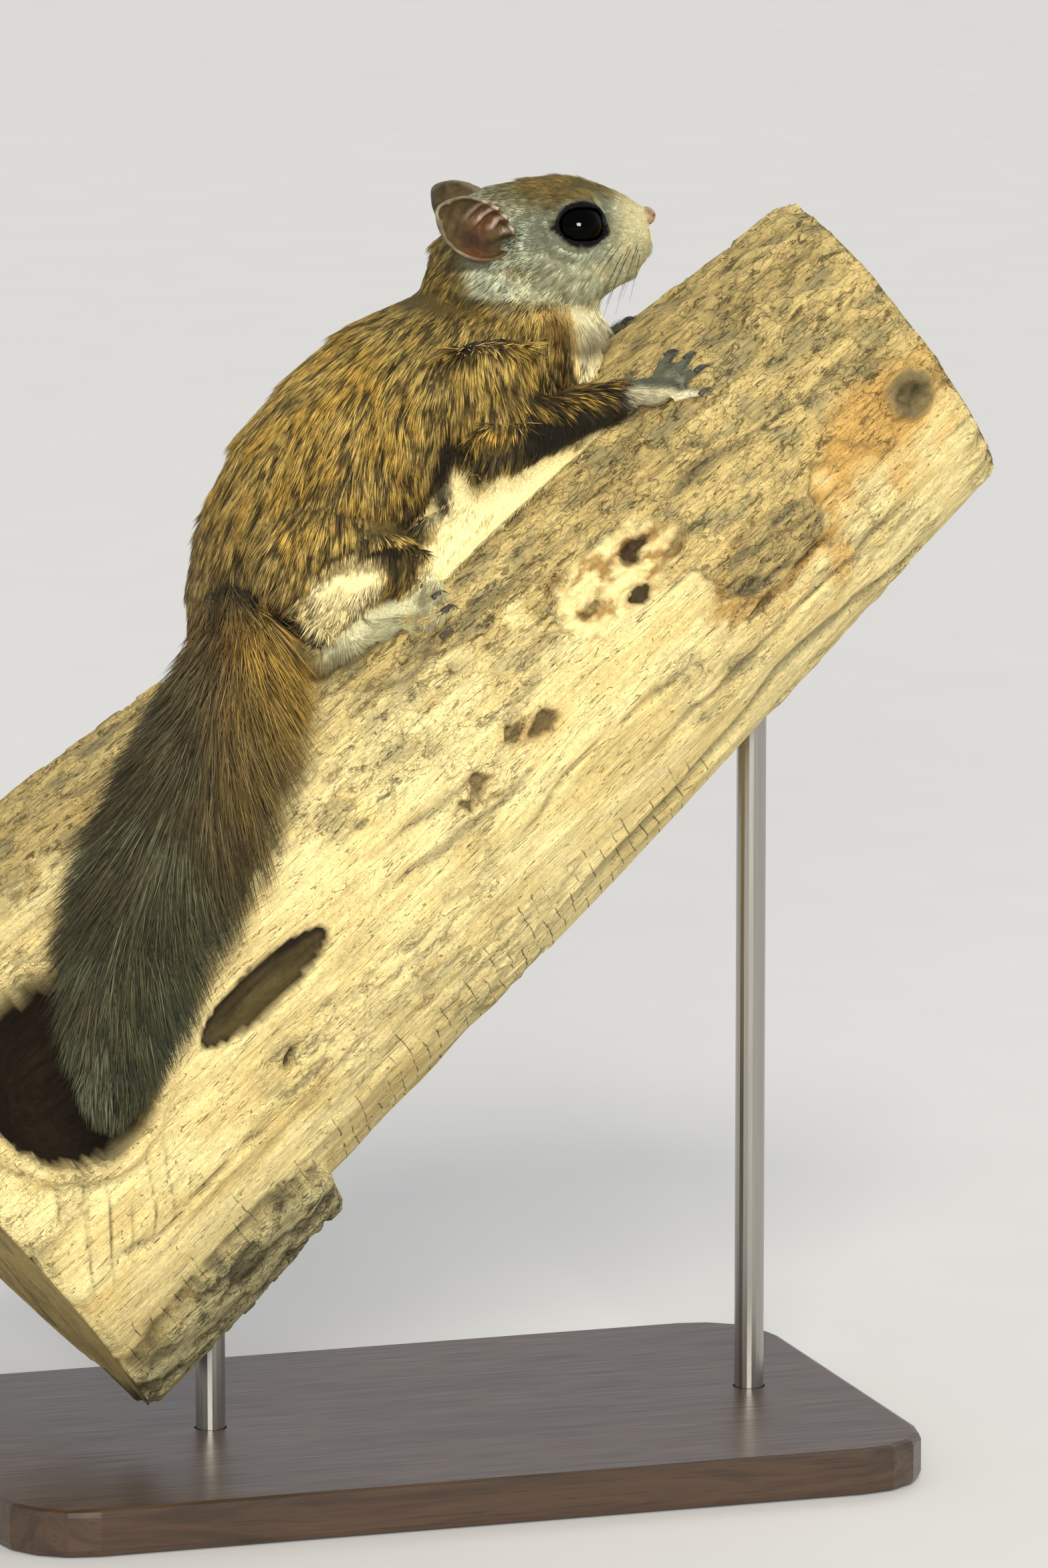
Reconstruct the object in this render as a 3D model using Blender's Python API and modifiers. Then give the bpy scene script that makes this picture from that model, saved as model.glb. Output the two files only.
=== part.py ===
"""A flying squirrel, head up on a short cut length of sloping dead branch, held by a flat stand with two rods.

The file is in metres, +Z up, and the sizes below are in millimetres. +X is the way the squirrel looks, and -Y its
right side. The origin is the centre of the stand's underside. Three frames place the pieces:
the perch's own (along it, across to the squirrel's left, out from its axis), the round of the bark
(along, degrees round from the top to the squirrel's right, height over the bark) and the head's
(forward, left, up, from the middle of the head).
"""

import math
import random

import bmesh
import bpy
from mathutils import Matrix, Vector

MM = 0.001
GAP = 0.35
RIGHT = -1
LEFT = 1
SIDE_NAMES = {RIGHT: "r", LEFT: "l"}

# The perch
PERCH_SLOPE = 39.0
PERCH_ORIGIN = Vector((44.0, 0.0, 184.0))
PERCH_LOW_END = -188.0
PERCH_HIGH_END = 86.0
BARK_RADIUS = 42.5
BARK_TAPER = 0.08
BARK_LUMP = 0.8
BARK_SIDES = 28
BARK_RINGS = 13
KNOT_HOLE = (-155.5, 70.0)
KNOT_HOLE_RADII = (18.5, 20.5, 22.0)
SLOT_HOLE = (-112.5, 86.5)
SLOT_HOLE_RADII = (18.0, 5.0, 4.5)

# The stand
BASE_LENGTH = 204.0
BASE_WIDTH = 124.0
BASE_THICKNESS = 10.0
BASE_EDGE = 1.5
BASE_CORNER = 18.0
ROD_RADIUS = 3.2
ROD_ALONG_PERCH = (-156.0, 12.0)
ROD_SOCKET_DEPTH = 7.0
ROD_FOOT_DEPTH = 5.0

# The body
BELLY_CLEARANCE = 0.45
TORSO_POWER = 2.2
VOXEL = 0.95
SMOOTHING = 7
BODY_TRIANGLES = 3300
HEAD_TRIANGLES = 11000

# The head
HEAD_CENTRE = PERCH_ORIGIN + Vector((-11.0, 0.0, 80.0))
HEAD_YAW = -12.0
HEAD_PITCH = 2.0
EYE_CENTRE = (5.5, 8.5, 2.5)
EYE_RADIUS = 5.5
EYE_TURN = 16.0
EYE_LIFT = 8.0
LID_OPENING = (65.0, 54.0)
LID_RADIUS = 0.7
EAR_LENGTH = 18.0
EAR_WALL = 0.9

# The tail
TAIL_CUTS = (0.36, 0.68)
TAIL_CORE_WIDTH = 8.5
TAIL_CORE_DEPTH = 4.6
TAIL_NODE_TRIANGLES = 1000
SIDE_LOCKS = 14
BACK_LOCKS = 8
TIP_LOCKS = 5
LOCK_PROFILE = ((0.6, 0.95), (1.0, 0.95), (0.92, 0.8), (0.6, 0.6), (0.12, 0.28))


def unit(angle):
    """The cosine and sine of an angle in degrees."""
    return math.cos(math.radians(angle)), math.sin(math.radians(angle))


def turned(yaw, pitch):
    """Forward, left and up of a frame yawed to the left and pitched up, in degrees."""
    cos_yaw, sin_yaw = unit(yaw)
    cos_pitch, sin_pitch = unit(pitch)
    forward = Vector((cos_yaw * cos_pitch, sin_yaw * cos_pitch, sin_pitch))
    left = Vector((-sin_yaw, cos_yaw, 0.0))
    return forward, left, forward.cross(left)


PERCH_ALONG, PERCH_ACROSS, PERCH_OUT = turned(0.0, PERCH_SLOPE)
HEAD_FORWARD, HEAD_LEFT, HEAD_UP = turned(HEAD_YAW, HEAD_PITCH)


def perch_point(along, across, out):
    return PERCH_ORIGIN + PERCH_ALONG * along + PERCH_ACROSS * across + PERCH_OUT * out


def perch_coordinates(point):
    offset = point - PERCH_ORIGIN
    return offset.dot(PERCH_ALONG), offset.dot(PERCH_ACROSS), offset.dot(PERCH_OUT)


def bark_radius(along):
    return BARK_RADIUS - BARK_TAPER * along


def on_bark(along, turn, height):
    """A point over the bark, turned from the perch's top towards the squirrel's right."""
    cos_turn, sin_turn = unit(turn)
    reach = bark_radius(along) + height
    return perch_point(along, -reach * sin_turn, reach * cos_turn)


def head_point(forward, left, up):
    return HEAD_CENTRE + HEAD_FORWARD * forward + HEAD_LEFT * left + HEAD_UP * up


def linked(name, bm):
    """A new object from a mesh in millimetres, in metres, with its faces pointing out."""
    bmesh.ops.recalc_face_normals(bm, faces=bm.faces)
    bmesh.ops.scale(bm, vec=(MM, MM, MM), verts=bm.verts)
    mesh = bpy.data.meshes.new(name)
    bm.to_mesh(mesh)
    bm.free()
    obj = bpy.data.objects.new(name, mesh)
    WORKSHOP.objects.link(obj)
    return obj


def lofted(name, rings, closed_loop=False):
    """A closed skin over rings of points, capped at both ends, or joined round to its start."""
    bm = bmesh.new()
    rows = [[bm.verts.new(point) for point in ring] for ring in rings]
    sides = len(rows[0])
    follows = rows[1:] + rows[:1] if closed_loop else rows[1:]
    for row, after in zip(rows, follows):
        for i in range(sides):
            j = (i + 1) % sides
            bm.faces.new((row[i], row[j], after[j], after[i]))
    if not closed_loop:
        bm.faces.new(rows[0])
        bm.faces.new(rows[-1])
    return linked(name, bm)


def tangents(points, closed_loop=False):
    count = len(points)
    found = []
    for i in range(count):
        before = points[(i - 1) % count] if closed_loop else points[max(i - 1, 0)]
        after = points[(i + 1) % count] if closed_loop else points[min(i + 1, count - 1)]
        found.append((after - before).normalized())
    return found


def oval(centre, right, up, half_width, half_height, sides, power=2.0):
    """A ring of points on a superellipse."""
    ring = []
    for i in range(sides):
        cos_a, sin_a = unit(360.0 * (i + 0.5) / sides)
        across = math.copysign(abs(cos_a) ** (2.0 / power), cos_a) * half_width
        above = math.copysign(abs(sin_a) ** (2.0 / power), sin_a) * half_height
        ring.append(centre + right * across + up * above)
    return ring


def limb(name, stations, up_hint, sides=12, power=2.0, grow=0.0, closed_loop=False):
    """A tapering body through stations of (point, half width, half height)."""
    points = [station[0] for station in stations]
    rings = []
    for station, tangent in zip(stations, tangents(points, closed_loop)):
        right = tangent.cross(up_hint).normalized()
        up = right.cross(tangent)
        rings.append(oval(station[0], right, up, station[1] + grow, station[2] + grow, sides, power))
    if grow and not closed_loop:
        first, last = tangents(points)[0], tangents(points)[-1]
        rings[0] = [point - first * grow for point in rings[0]]
        rings[-1] = [point + last * grow for point in rings[-1]]
    return lofted(name, rings, closed_loop)


def ball(name, centre, radii, axes, segments=20, grow=0.0):
    """An ellipsoid with its radii along three axes."""
    bm = bmesh.new()
    bmesh.ops.create_uvsphere(bm, u_segments=segments, v_segments=segments * 5 // 8, radius=1.0)
    place = Matrix([axis * (radius + grow) for axis, radius in zip(axes, radii)]).transposed().to_4x4()
    place.translation = centre
    bmesh.ops.transform(bm, matrix=place, verts=bm.verts)
    return linked(name, bm)


def block(name, centre, half_sizes, axes, grow=0.0):
    bm = bmesh.new()
    bmesh.ops.create_cube(bm, size=2.0)
    place = Matrix([axis * (half + grow) for axis, half in zip(axes, half_sizes)]).transposed().to_4x4()
    place.translation = centre
    bmesh.ops.transform(bm, matrix=place, verts=bm.verts)
    return linked(name, bm)


def post(name, foot, top, radius, sides=20):
    """An upright cylinder."""
    axes = (Vector((1, 0, 0)), Vector((0, 1, 0)))
    rings = [oval(Vector((foot.x, foot.y, z)), *axes, radius, radius, sides) for z in (foot.z, top.z)]
    return lofted(name, rings)


def settle(obj):
    """Applies an object's modifiers."""
    graph = bpy.context.evaluated_depsgraph_get()
    mesh = bpy.data.meshes.new_from_object(obj.evaluated_get(graph))
    obj.modifiers.clear()
    old = obj.data
    obj.data = mesh
    bpy.data.meshes.remove(old)
    return obj


def copied(obj, name):
    twin = obj.copy()
    twin.data = obj.data.copy()
    twin.name = name
    WORKSHOP.objects.link(twin)
    return twin


def combine(obj, other, operation, solver="EXACT"):
    """One Boolean with another object, which is then removed."""
    modifier = obj.modifiers.new("combine", "BOOLEAN")
    modifier.operation = operation
    modifier.solver = solver
    modifier.object = other
    settle(obj)
    bpy.data.objects.remove(other)
    return obj


def fused(obj, pieces, solver="EXACT"):
    """Joins closed pieces into an object by one Boolean union on their collection."""
    pile = bpy.data.collections.new("pile")
    for piece in pieces:
        pile.objects.link(piece)
        WORKSHOP.objects.unlink(piece)
    bpy.context.scene.collection.children.link(pile)
    modifier = obj.modifiers.new("fuse", "BOOLEAN")
    modifier.operation = "UNION"
    modifier.solver = solver
    modifier.operand_type = "COLLECTION"
    modifier.collection = pile
    settle(obj)
    for piece in pieces:
        bpy.data.objects.remove(piece)
    bpy.data.collections.remove(pile)
    return obj


def moulded(name, pieces, voxel, smoothing):
    """Overlapping pieces run together into one smooth skin."""
    bm = bmesh.new()
    for piece in pieces:
        bm.from_mesh(piece.data)
        bpy.data.objects.remove(piece)
    mesh = bpy.data.meshes.new(name)
    bm.to_mesh(mesh)
    bm.free()
    obj = bpy.data.objects.new(name, mesh)
    WORKSHOP.objects.link(obj)
    remesh = obj.modifiers.new("remesh", "REMESH")
    remesh.mode = "VOXEL"
    remesh.voxel_size = voxel * MM
    smooth = obj.modifiers.new("smooth", "SMOOTH")
    smooth.factor = 0.5
    smooth.iterations = smoothing
    return settle(obj)


def thinned(obj, triangles):
    """Fewer faces, down to about that many triangles, and a few more where that tears the skin."""
    count = sum(len(polygon.vertices) - 2 for polygon in obj.data.polygons)
    source = obj.data.copy()
    for extra in (1.0, 1.02, 1.05, 1.09, 1.14, 1.2):
        if triangles * extra < count:
            decimate = obj.modifiers.new("thin", "DECIMATE")
            decimate.ratio = triangles * extra / count
            settle(obj)
        if is_closed(cleaned(obj)):
            break
        obj.data = source.copy()
    return obj


def is_closed(obj):
    bm = bmesh.new()
    bm.from_mesh(obj.data)
    closed = all(len(edge.link_faces) == 2 for edge in bm.edges)
    bm.free()
    return closed


def swollen(obj, name, distance):
    """A copy grown outwards along its normals."""
    twin = copied(obj, name)
    displace = twin.modifiers.new("swell", "DISPLACE")
    displace.mid_level = 0.0
    displace.strength = distance * MM
    return settle(twin)


def islands(bm):
    """The connected sets of faces of a mesh."""
    unseen = set(bm.faces)
    while unseen:
        island = {unseen.pop()}
        front = list(island)
        while front:
            face = front.pop()
            for edge in face.edges:
                for near in edge.link_faces:
                    if near in unseen:
                        unseen.discard(near)
                        island.add(near)
                        front.append(near)
        yield island


def enclosed(faces):
    """Six times the volume that a closed set of triangles holds."""
    return sum(f.verts[0].co.dot(f.verts[1].co.cross(f.verts[2].co)) for f in faces)


def drop_flaps(bm):
    """Removes pairs of faces that lie back to back on the same corners."""
    seen = {}
    for face in bm.faces:
        seen.setdefault(frozenset(face.verts), []).append(face)
    flaps = [face for faces in seen.values() if len(faces) > 1 for face in faces]
    bmesh.ops.delete(bm, geom=flaps, context="FACES")


def mend(bm):
    """Takes out the faces at torn or doubled edges and fills the small holes that this leaves."""
    for _ in range(4):
        torn = [edge for edge in bm.edges if len(edge.link_faces) != 2]
        if not torn:
            return
        around = {face for edge in torn for face in edge.link_faces}
        bmesh.ops.delete(bm, geom=list(around), context="FACES")
        loose = [edge for edge in bm.edges if not edge.link_faces]
        bmesh.ops.delete(bm, geom=loose, context="EDGES")
        rims = [edge for edge in bm.edges if edge.is_boundary]
        patches = bmesh.ops.holes_fill(bm, edges=rims, sides=0)
        bmesh.ops.triangulate(bm, faces=patches["faces"])
        drop_flaps(bm)


def cleaned(obj):
    """Keeps the largest closed surface, in triangles with no slivers."""
    bm = bmesh.new()
    bm.from_mesh(obj.data)
    bmesh.ops.remove_doubles(bm, verts=bm.verts, dist=0.002 * MM)
    bmesh.ops.dissolve_degenerate(bm, dist=0.004 * MM, edges=bm.edges)
    bmesh.ops.triangulate(bm, faces=bm.faces)
    drop_flaps(bm)
    mend(bm)
    found = sorted(islands(bm), key=enclosed)
    scraps = [face for island in found[:-1] for face in island]
    bmesh.ops.delete(bm, geom=scraps, context="FACES")
    bm.to_mesh(obj.data)
    bm.free()
    return obj


def carved(whole, region, name):
    """Parts a named node from the whole by a thin cut along a region."""
    node = copied(whole, name)
    combine(node, region(0.0), "INTERSECT", solver="MANIFOLD")
    combine(whole, region(GAP), "DIFFERENCE", solver="MANIFOLD")
    cleaned(whole)
    return cleaned(node)


def bark_lumps(along, turn):
    """The gentle unevenness of a weathered branch."""
    long_wave = math.sin(math.radians(turn * 3.0 + along * 0.9))
    short_wave = math.sin(math.radians(turn * 7.0 - along * 2.3))
    return BARK_LUMP * (0.62 * long_wave + 0.38 * short_wave)


def branch(name, grow=0.0):
    """The branch as a tapering, uneven round, with slightly slanting cut ends."""
    rings = []
    length = PERCH_HIGH_END - PERCH_LOW_END
    for i in range(BARK_RINGS):
        share = i / (BARK_RINGS - 1)
        ring = []
        for j in range(BARK_SIDES):
            turn = 360.0 * j / BARK_SIDES
            along = PERCH_LOW_END - grow + (length + 2.0 * grow) * share
            along += 3.0 * unit(turn + 40.0)[0] * (2.0 * share - 1.0) ** 5
            ring.append(on_bark(along, turn, bark_lumps(along, turn) + grow))
        rings.append(ring)
    return lofted(name, rings)


def bark_frame(along, turn):
    """The bark's own directions at a point: along it, round it and out of it."""
    out = (on_bark(along, turn, 1.0) - on_bark(along, turn, 0.0)).normalized()
    return PERCH_ALONG, out.cross(PERCH_ALONG), out


def socket_top(along):
    """Where an upright rod under that place on the perch's axis meets the bark, and how far it goes in."""
    under = on_bark(along, 180.0, 0.0)
    return Vector((under.x, under.y, under.z + ROD_SOCKET_DEPTH))


def build_perch():
    perch = branch("perch")
    for (along, turn), radii in ((KNOT_HOLE, KNOT_HOLE_RADII), (SLOT_HOLE, SLOT_HOLE_RADII)):
        centre = on_bark(along, turn, 0.0)
        combine(perch, ball("hollow", centre, radii, bark_frame(along, turn), segments=18), "DIFFERENCE")
    for along in ROD_ALONG_PERCH:
        top = socket_top(along)
        foot = Vector((top.x, top.y, top.z - 40.0))
        combine(perch, post("socket", foot, top, ROD_RADIUS + GAP), "DIFFERENCE")
    return cleaned(perch)


def build_stand():
    bpy.ops.mesh.primitive_cube_add(size=1.0)
    base = bpy.context.object
    base.name = "stand_base"
    base.data.transform(Matrix.Diagonal((BASE_LENGTH * MM, BASE_WIDTH * MM, BASE_THICKNESS * MM, 1.0)))
    base.data.transform(Matrix.Translation((0.0, 0.0, BASE_THICKNESS * MM / 2.0)))
    corners = base.data.attributes.new("bevel_weight_edge", "FLOAT", "EDGE")
    for edge in base.data.edges:
        ends = [base.data.vertices[i].co for i in edge.vertices]
        corners.data[edge.index].value = 1.0 if abs(ends[0].z - ends[1].z) > MM else 0.0
    bevel = base.modifiers.new("corners", "BEVEL")
    bevel.limit_method = "WEIGHT"
    bevel.width = BASE_CORNER * MM
    bevel.segments = 4
    edge_bevel = base.modifiers.new("edges", "BEVEL")
    edge_bevel.width = BASE_EDGE * MM
    edge_bevel.segments = 2
    edge_bevel.limit_method = "ANGLE"
    edge_bevel.angle_limit = math.radians(60.0)
    settle(base)
    rods = []
    for name, along in zip(("stand_rod_low", "stand_rod_high"), ROD_ALONG_PERCH):
        top = socket_top(along)
        foot = Vector((top.x, top.y, BASE_THICKNESS - ROD_FOOT_DEPTH))
        lid = Vector((top.x, top.y, BASE_THICKNESS + 5.0))
        combine(base, post("foot_hole", foot - Vector((0, 0, GAP)), lid, ROD_RADIUS + GAP), "DIFFERENCE")
        rods.append(post(name, foot, top - Vector((0, 0, GAP)), ROD_RADIUS))
    return [cleaned(base)] + rods


def torso_pieces():
    """The trunk, whose belly is later cut to the bark."""
    middle = (
        (36.0, 45.5, 9.5, 7.0),
        (31.5, 50.0, 16.0, 13.0),
        (22.0, 55.0, 21.0, 18.5),
        (10.0, 58.5, 24.0, 20.6),
        (-3.0, 60.5, 25.5, 22.3),
        (-16.0, 60.5, 26.5, 22.8),
        (-30.0, 59.5, 27.0, 21.8),
        (-42.0, 56.5, 26.5, 19.6),
        (-52.0, 53.5, 23.0, 16.8),
        (-61.0, 52.0, 17.0, 12.8),
        (-68.5, 50.5, 10.0, 7.6),
    )
    stations = [(perch_point(along, 0.0, out), width, height) for along, out, width, height in middle]
    trunk = limb("trunk", stations, PERCH_OUT, sides=32, power=TORSO_POWER)
    chest = ball(
        "chest",
        PERCH_ORIGIN + Vector((-11.5, 0.0, 52.0)),
        (14.5, 15.5, 16.0),
        (Vector((1, 0, 0)), Vector((0, 1, 0)), Vector((0, 0, 1))),
    )
    return [trunk, chest]


def neck_pieces():
    stations = (
        (PERCH_ORIGIN + Vector((-29.0, 0.0, 55.0)), 20.0, 15.0),
        (PERCH_ORIGIN + Vector((-25.0, -0.5, 67.0)), 16.0, 15.6),
        (head_point(-14.0, 0.0, -6.0), 13.0, 13.5),
        (head_point(-6.0, 0.0, -2.0), 11.0, 11.0),
    )
    return [limb("neck", stations, Vector((-1, 0, 0)), sides=24)]


def head_pieces():
    """The skull, with its cheeks, whisker pads and chin."""
    profile = (
        (21.9, 4.4, -4.6, 3.3),
        (20.6, 5.8, -6.6, 4.7),
        (18.0, 7.8, -9.0, 6.2),
        (14.5, 9.8, -11.8, 8.0),
        (9.6, 11.8, -15.0, 10.4),
        (3.5, 12.9, -16.4, 12.8),
        (-3.0, 13.0, -15.8, 14.4),
        (-9.7, 12.0, -14.6, 14.7),
        (-15.0, 10.0, -13.6, 13.4),
        (-20.0, 6.6, -11.0, 10.0),
        (-22.6, 2.5, -7.0, 5.5),
    )
    stations = [
        (head_point(forward, 0.0, (top + bottom) / 2.0), width, (top - bottom) / 2.0)
        for forward, top, bottom, width in profile
    ]
    axes = (HEAD_FORWARD, HEAD_LEFT, HEAD_UP)
    pieces = [limb("skull", stations, HEAD_UP, sides=28)]
    for side in (RIGHT, LEFT):
        pieces.append(ball("cheek", head_point(1.5, side * 8.0, -8.2), (9.5, 6.4, 7.4), axes))
        pieces.append(ball("whisker_pad", head_point(18.2, side * 2.9, -1.6), (4.2, 3.2, 3.9), axes))
        pieces.append(ball("brow", head_point(4.6, side * 6.4, 6.8), (6.5, 4.2, 3.6), axes))
    pieces.append(ball("chin", head_point(15.8, 0.0, -8.6), (4.2, 3.4, 2.8), axes))
    pieces.append(ball("nose", head_point(20.8, 0.0, 3.1), (2.4, 2.3, 2.0), axes))
    return pieces


def reach_of(side):
    """How far ahead of the right hand that side's hand lies."""
    return 4.0 if side == LEFT else 0.0


def side_bark(side, along, turn, height):
    return on_bark(along, -side * turn, height)


def shoulder(side):
    return perch_point(13.0, side * 17.0, 63.0)


def elbow(side):
    return perch_point(1.5, side * 29.0, 49.5)


def wrist(side):
    return side_bark(side, 30.0 + reach_of(side), 33.5, 6.0)


def hip(side):
    return perch_point(-44.0, side * 16.5, 54.0)


def knee(side):
    return perch_point(-31.0, side * 29.5, 46.5)


def ankle(side):
    return side_bark(side, -54.0, 33.5, 7.6)


def arm_pieces(side):
    upper = limb("upper_arm", [(shoulder(side), 11.5, 12.5), (elbow(side), 8.2, 9.0)], PERCH_OUT, sides=16)
    middle = elbow(side).lerp(wrist(side), 0.5) + PERCH_OUT * 1.0
    fore_stations = [(elbow(side), 5.6, 7.2), (middle, 5.0, 6.4), (wrist(side), 3.2, 3.8)]
    point = ball("elbow", elbow(side) - PERCH_ALONG * 4.5, (6.0, 4.4, 5.0), turned(0.0, PERCH_SLOPE))
    return [upper, limb("forearm", fore_stations, PERCH_OUT, sides=16), point]


def leg_pieces(side):
    axes = turned(-side * 14.0, PERCH_SLOPE - 20.0)
    haunch = ball("haunch", perch_point(-39.0, side * 19.0, 53.5), (20.0, 11.5, 15.5), axes)
    thigh = limb("thigh", [(hip(side), 12.0, 12.0), (knee(side), 7.2, 7.6)], PERCH_OUT, sides=16)
    shank = limb("shank", [(knee(side), 5.2, 5.8), (ankle(side), 4.0, 4.4)], PERCH_OUT, sides=14)
    kneecap = ball("kneecap", knee(side), (6.8, 6.0, 7.0), turned(0.0, PERCH_SLOPE))
    return [haunch, thigh, shank, kneecap]


def membrane(side, grow=0.0, sides=14):
    """The folded gliding skin, a thick hem from wrist to ankle that lies on the bark."""
    hem = (
        (27.0, 34.5, 5.0, 2.0),
        (18.0, 35.5, 8.0, 2.4),
        (8.0, 36.5, 10.5, 2.7),
        (-4.0, 37.5, 12.0, 3.0),
        (-16.0, 39.0, 12.0, 3.0),
        (-27.0, 40.5, 10.0, 2.8),
        (-38.0, 42.0, 7.0, 2.4),
        (-46.0, 41.5, 4.5, 2.0),
    )
    rings = []
    for along, turn, reach, half_thickness in hem:
        lower = side_bark(side, along, turn, 0.8)
        root = perch_point(along, side * 20.5, 53.0)
        up = (root - lower).normalized()
        right = PERCH_ALONG.cross(up)
        centre = lower + up * (reach * 0.5 + 0.5)
        size = (half_thickness + grow, reach * 0.5 + 1.2 + grow)
        rings.append(oval(centre, right, up, *size, sides=sides))
    return lofted("membrane", rings)


def build_outline():
    """The furred outline in one piece."""
    pieces = torso_pieces() + neck_pieces() + head_pieces()
    for side in (RIGHT, LEFT):
        pieces += arm_pieces(side) + leg_pieces(side) + [membrane(side)]
    return moulded("outline", pieces, VOXEL, SMOOTHING)


def resting(outline, name, triangles):
    """A copy of the outline in so many triangles, with its belly cut to the bark."""
    twin = thinned(copied(outline, name), triangles)
    combine(twin, branch("bark_cut", BELLY_CLEARANCE), "DIFFERENCE", solver="MANIFOLD")
    return cleaned(twin)


def head_region(grow):
    """Everything above a plane from the nape to the throat."""
    normal = Vector((0.56, 0.0, 0.83)).normalized()
    across = Vector((0, 1, 0))
    centre = PERCH_ORIGIN + Vector((-19.8, 0.0, 73.6)) + normal * 30.0
    return block("head_region", centre, (46.0, 34.0, 30.0), (across.cross(normal), across, normal), grow)


def neck_region(grow):
    normal = Vector((0.26, 0.0, 0.965)).normalized()
    across = Vector((0, 1, 0))
    centre = PERCH_ORIGIN + Vector((-21.8, 0.0, 65.8)) + normal * 20.0
    return block("neck_region", centre, (46.0, 34.0, 20.0), (across.cross(normal), across, normal), grow)


def upper_arm_region(side):
    out = PERCH_ACROSS * side * 4.5
    stations = [
        (shoulder(side) + out + (shoulder(side) - elbow(side)) * 0.42, 4.0, 5.0),
        (shoulder(side) + out + (shoulder(side) - elbow(side)) * 0.28, 7.5, 9.0),
        (shoulder(side) + out, 9.5, 11.5),
        (elbow(side) + out, 9.5, 8.6),
        (elbow(side) + out + (elbow(side) - shoulder(side)) * 0.35, 8.0, 7.0),
    ]
    return lambda grow: limb("upper_arm_region", stations, PERCH_OUT, sides=12, grow=grow)


def forearm_region(side):
    start = elbow(side).lerp(wrist(side), 0.16)
    end = wrist(side) + (wrist(side) - elbow(side)) * 0.3
    stations = [(start, 8.2, 9.5), (end, 7.0, 7.4)]
    return lambda grow: limb("forearm_region", stations, PERCH_OUT, sides=10, grow=grow)


def thigh_region(side):
    axes = turned(-side * 14.0, PERCH_SLOPE - 20.0)
    centre = perch_point(-39.5, side * 24.5, 53.0)
    return lambda grow: ball("thigh_region", centre, (21.5, 13.0, 17.0), axes, segments=14, grow=grow)


def shank_region(side):
    start = knee(side).lerp(ankle(side), 0.28)
    end = ankle(side) + (ankle(side) - knee(side)) * 0.3
    stations = [(start, 6.6, 6.2), (end, 6.0, 6.0)]
    return lambda grow: limb("shank_region", stations, PERCH_OUT, sides=10, grow=grow)


def membrane_region(side):
    return lambda grow: membrane(side, 1.1 + grow, sides=8)


def digit(name, points, radii, sides=6):
    stations = [(point, radius, radius) for point, radius in zip(points, radii)]
    return limb(name, stations, PERCH_OUT, sides=sides)


def toes(side, knuckles, tips, lengths, thickness):
    """Jointed digits, each with a hooked claw, fanned over the bark."""
    made = []
    for (start, start_turn), (end, end_turn), length in zip(knuckles, tips, lengths):
        end = start + (end - start) * length
        turns = [start_turn + (end_turn - start_turn) * share for share in (0.0, 0.45, 0.85, 1.0)]
        alongs = [start + (end - start) * share for share in (-0.12, 0.45, 0.85, 1.0)]
        heights = (2.9, 3.3, 2.2, 1.7)
        points = [side_bark(side, *place) for place in zip(alongs, turns, heights)]
        made.append(digit("digit", points, [thickness * k for k in (1.05, 1.0, 0.9, 0.55)]))
        hook = [
            side_bark(side, end - 0.9, end_turn, 2.2),
            side_bark(side, end + 1.3, end_turn, 2.0),
            side_bark(side, end + 2.4, end_turn, 0.75),
        ]
        made.append(digit("claw", hook, (0.62, 0.48, 0.22), sides=5))
    return made


def build_hand(side):
    """The palm and its four fingers."""
    ahead = reach_of(side)
    start = wrist(side) - (wrist(side) - elbow(side)).normalized() * 1.5
    palm_stations = [
        (start, 3.0, 3.3),
        (side_bark(side, 33.0 + ahead, 35.0, 4.2), 3.7, 2.7),
        (side_bark(side, 36.0 + ahead, 36.5, 3.2), 4.2, 2.2),
        (side_bark(side, 38.0 + ahead, 37.0, 2.8), 3.2, 1.7),
    ]
    palm = limb("hand_" + SIDE_NAMES[side], palm_stations, PERCH_OUT, sides=12)
    turns = (32.2, 35.2, 38.2, 41.2)
    knuckles = [(36.5 + ahead, turn) for turn in turns]
    tips = [(44.0 + ahead, 27.0), (45.5 + ahead, 32.6), (45.0 + ahead, 38.6), (42.5 + ahead, 45.5)]
    fingers = toes(side, knuckles, tips, (0.9, 1.0, 1.0, 0.9), 1.3)
    return fused(palm, fingers, solver="MANIFOLD")


def build_foot(side):
    """The long sole with its heel, and five toes."""
    sole_stations = [
        (side_bark(side, -59.5, 33.6, 3.6), 2.2, 2.4),
        (side_bark(side, -57.0, 34.0, 4.0), 3.1, 3.4),
        (side_bark(side, -50.0, 36.0, 3.6), 3.3, 2.9),
        (side_bark(side, -42.0, 39.0, 3.1), 4.1, 2.4),
        (side_bark(side, -37.5, 40.5, 2.8), 4.0, 1.9),
    ]
    sole = limb("foot_" + SIDE_NAMES[side], sole_stations, PERCH_OUT, sides=12)
    heel = limb("heel", [(ankle(side), 3.2, 3.2), (side_bark(side, -56.0, 34.0, 3.8), 3.0, 3.0)], PERCH_ALONG)
    turns = (36.4, 38.8, 41.0, 43.2, 45.4)
    knuckles = [(along, turn) for along, turn in zip((-41.0, -39.0, -38.5, -39.0, -41.5), turns)]
    tips = [(-32.0, 31.5), (-30.0, 36.8), (-29.5, 41.6), (-30.2, 46.4), (-33.0, 51.5)]
    digits = toes(side, knuckles, tips, (0.82, 1.0, 1.0, 1.0, 0.84), 1.35)
    return fused(sole, [heel] + digits, solver="MANIFOLD")


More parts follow.
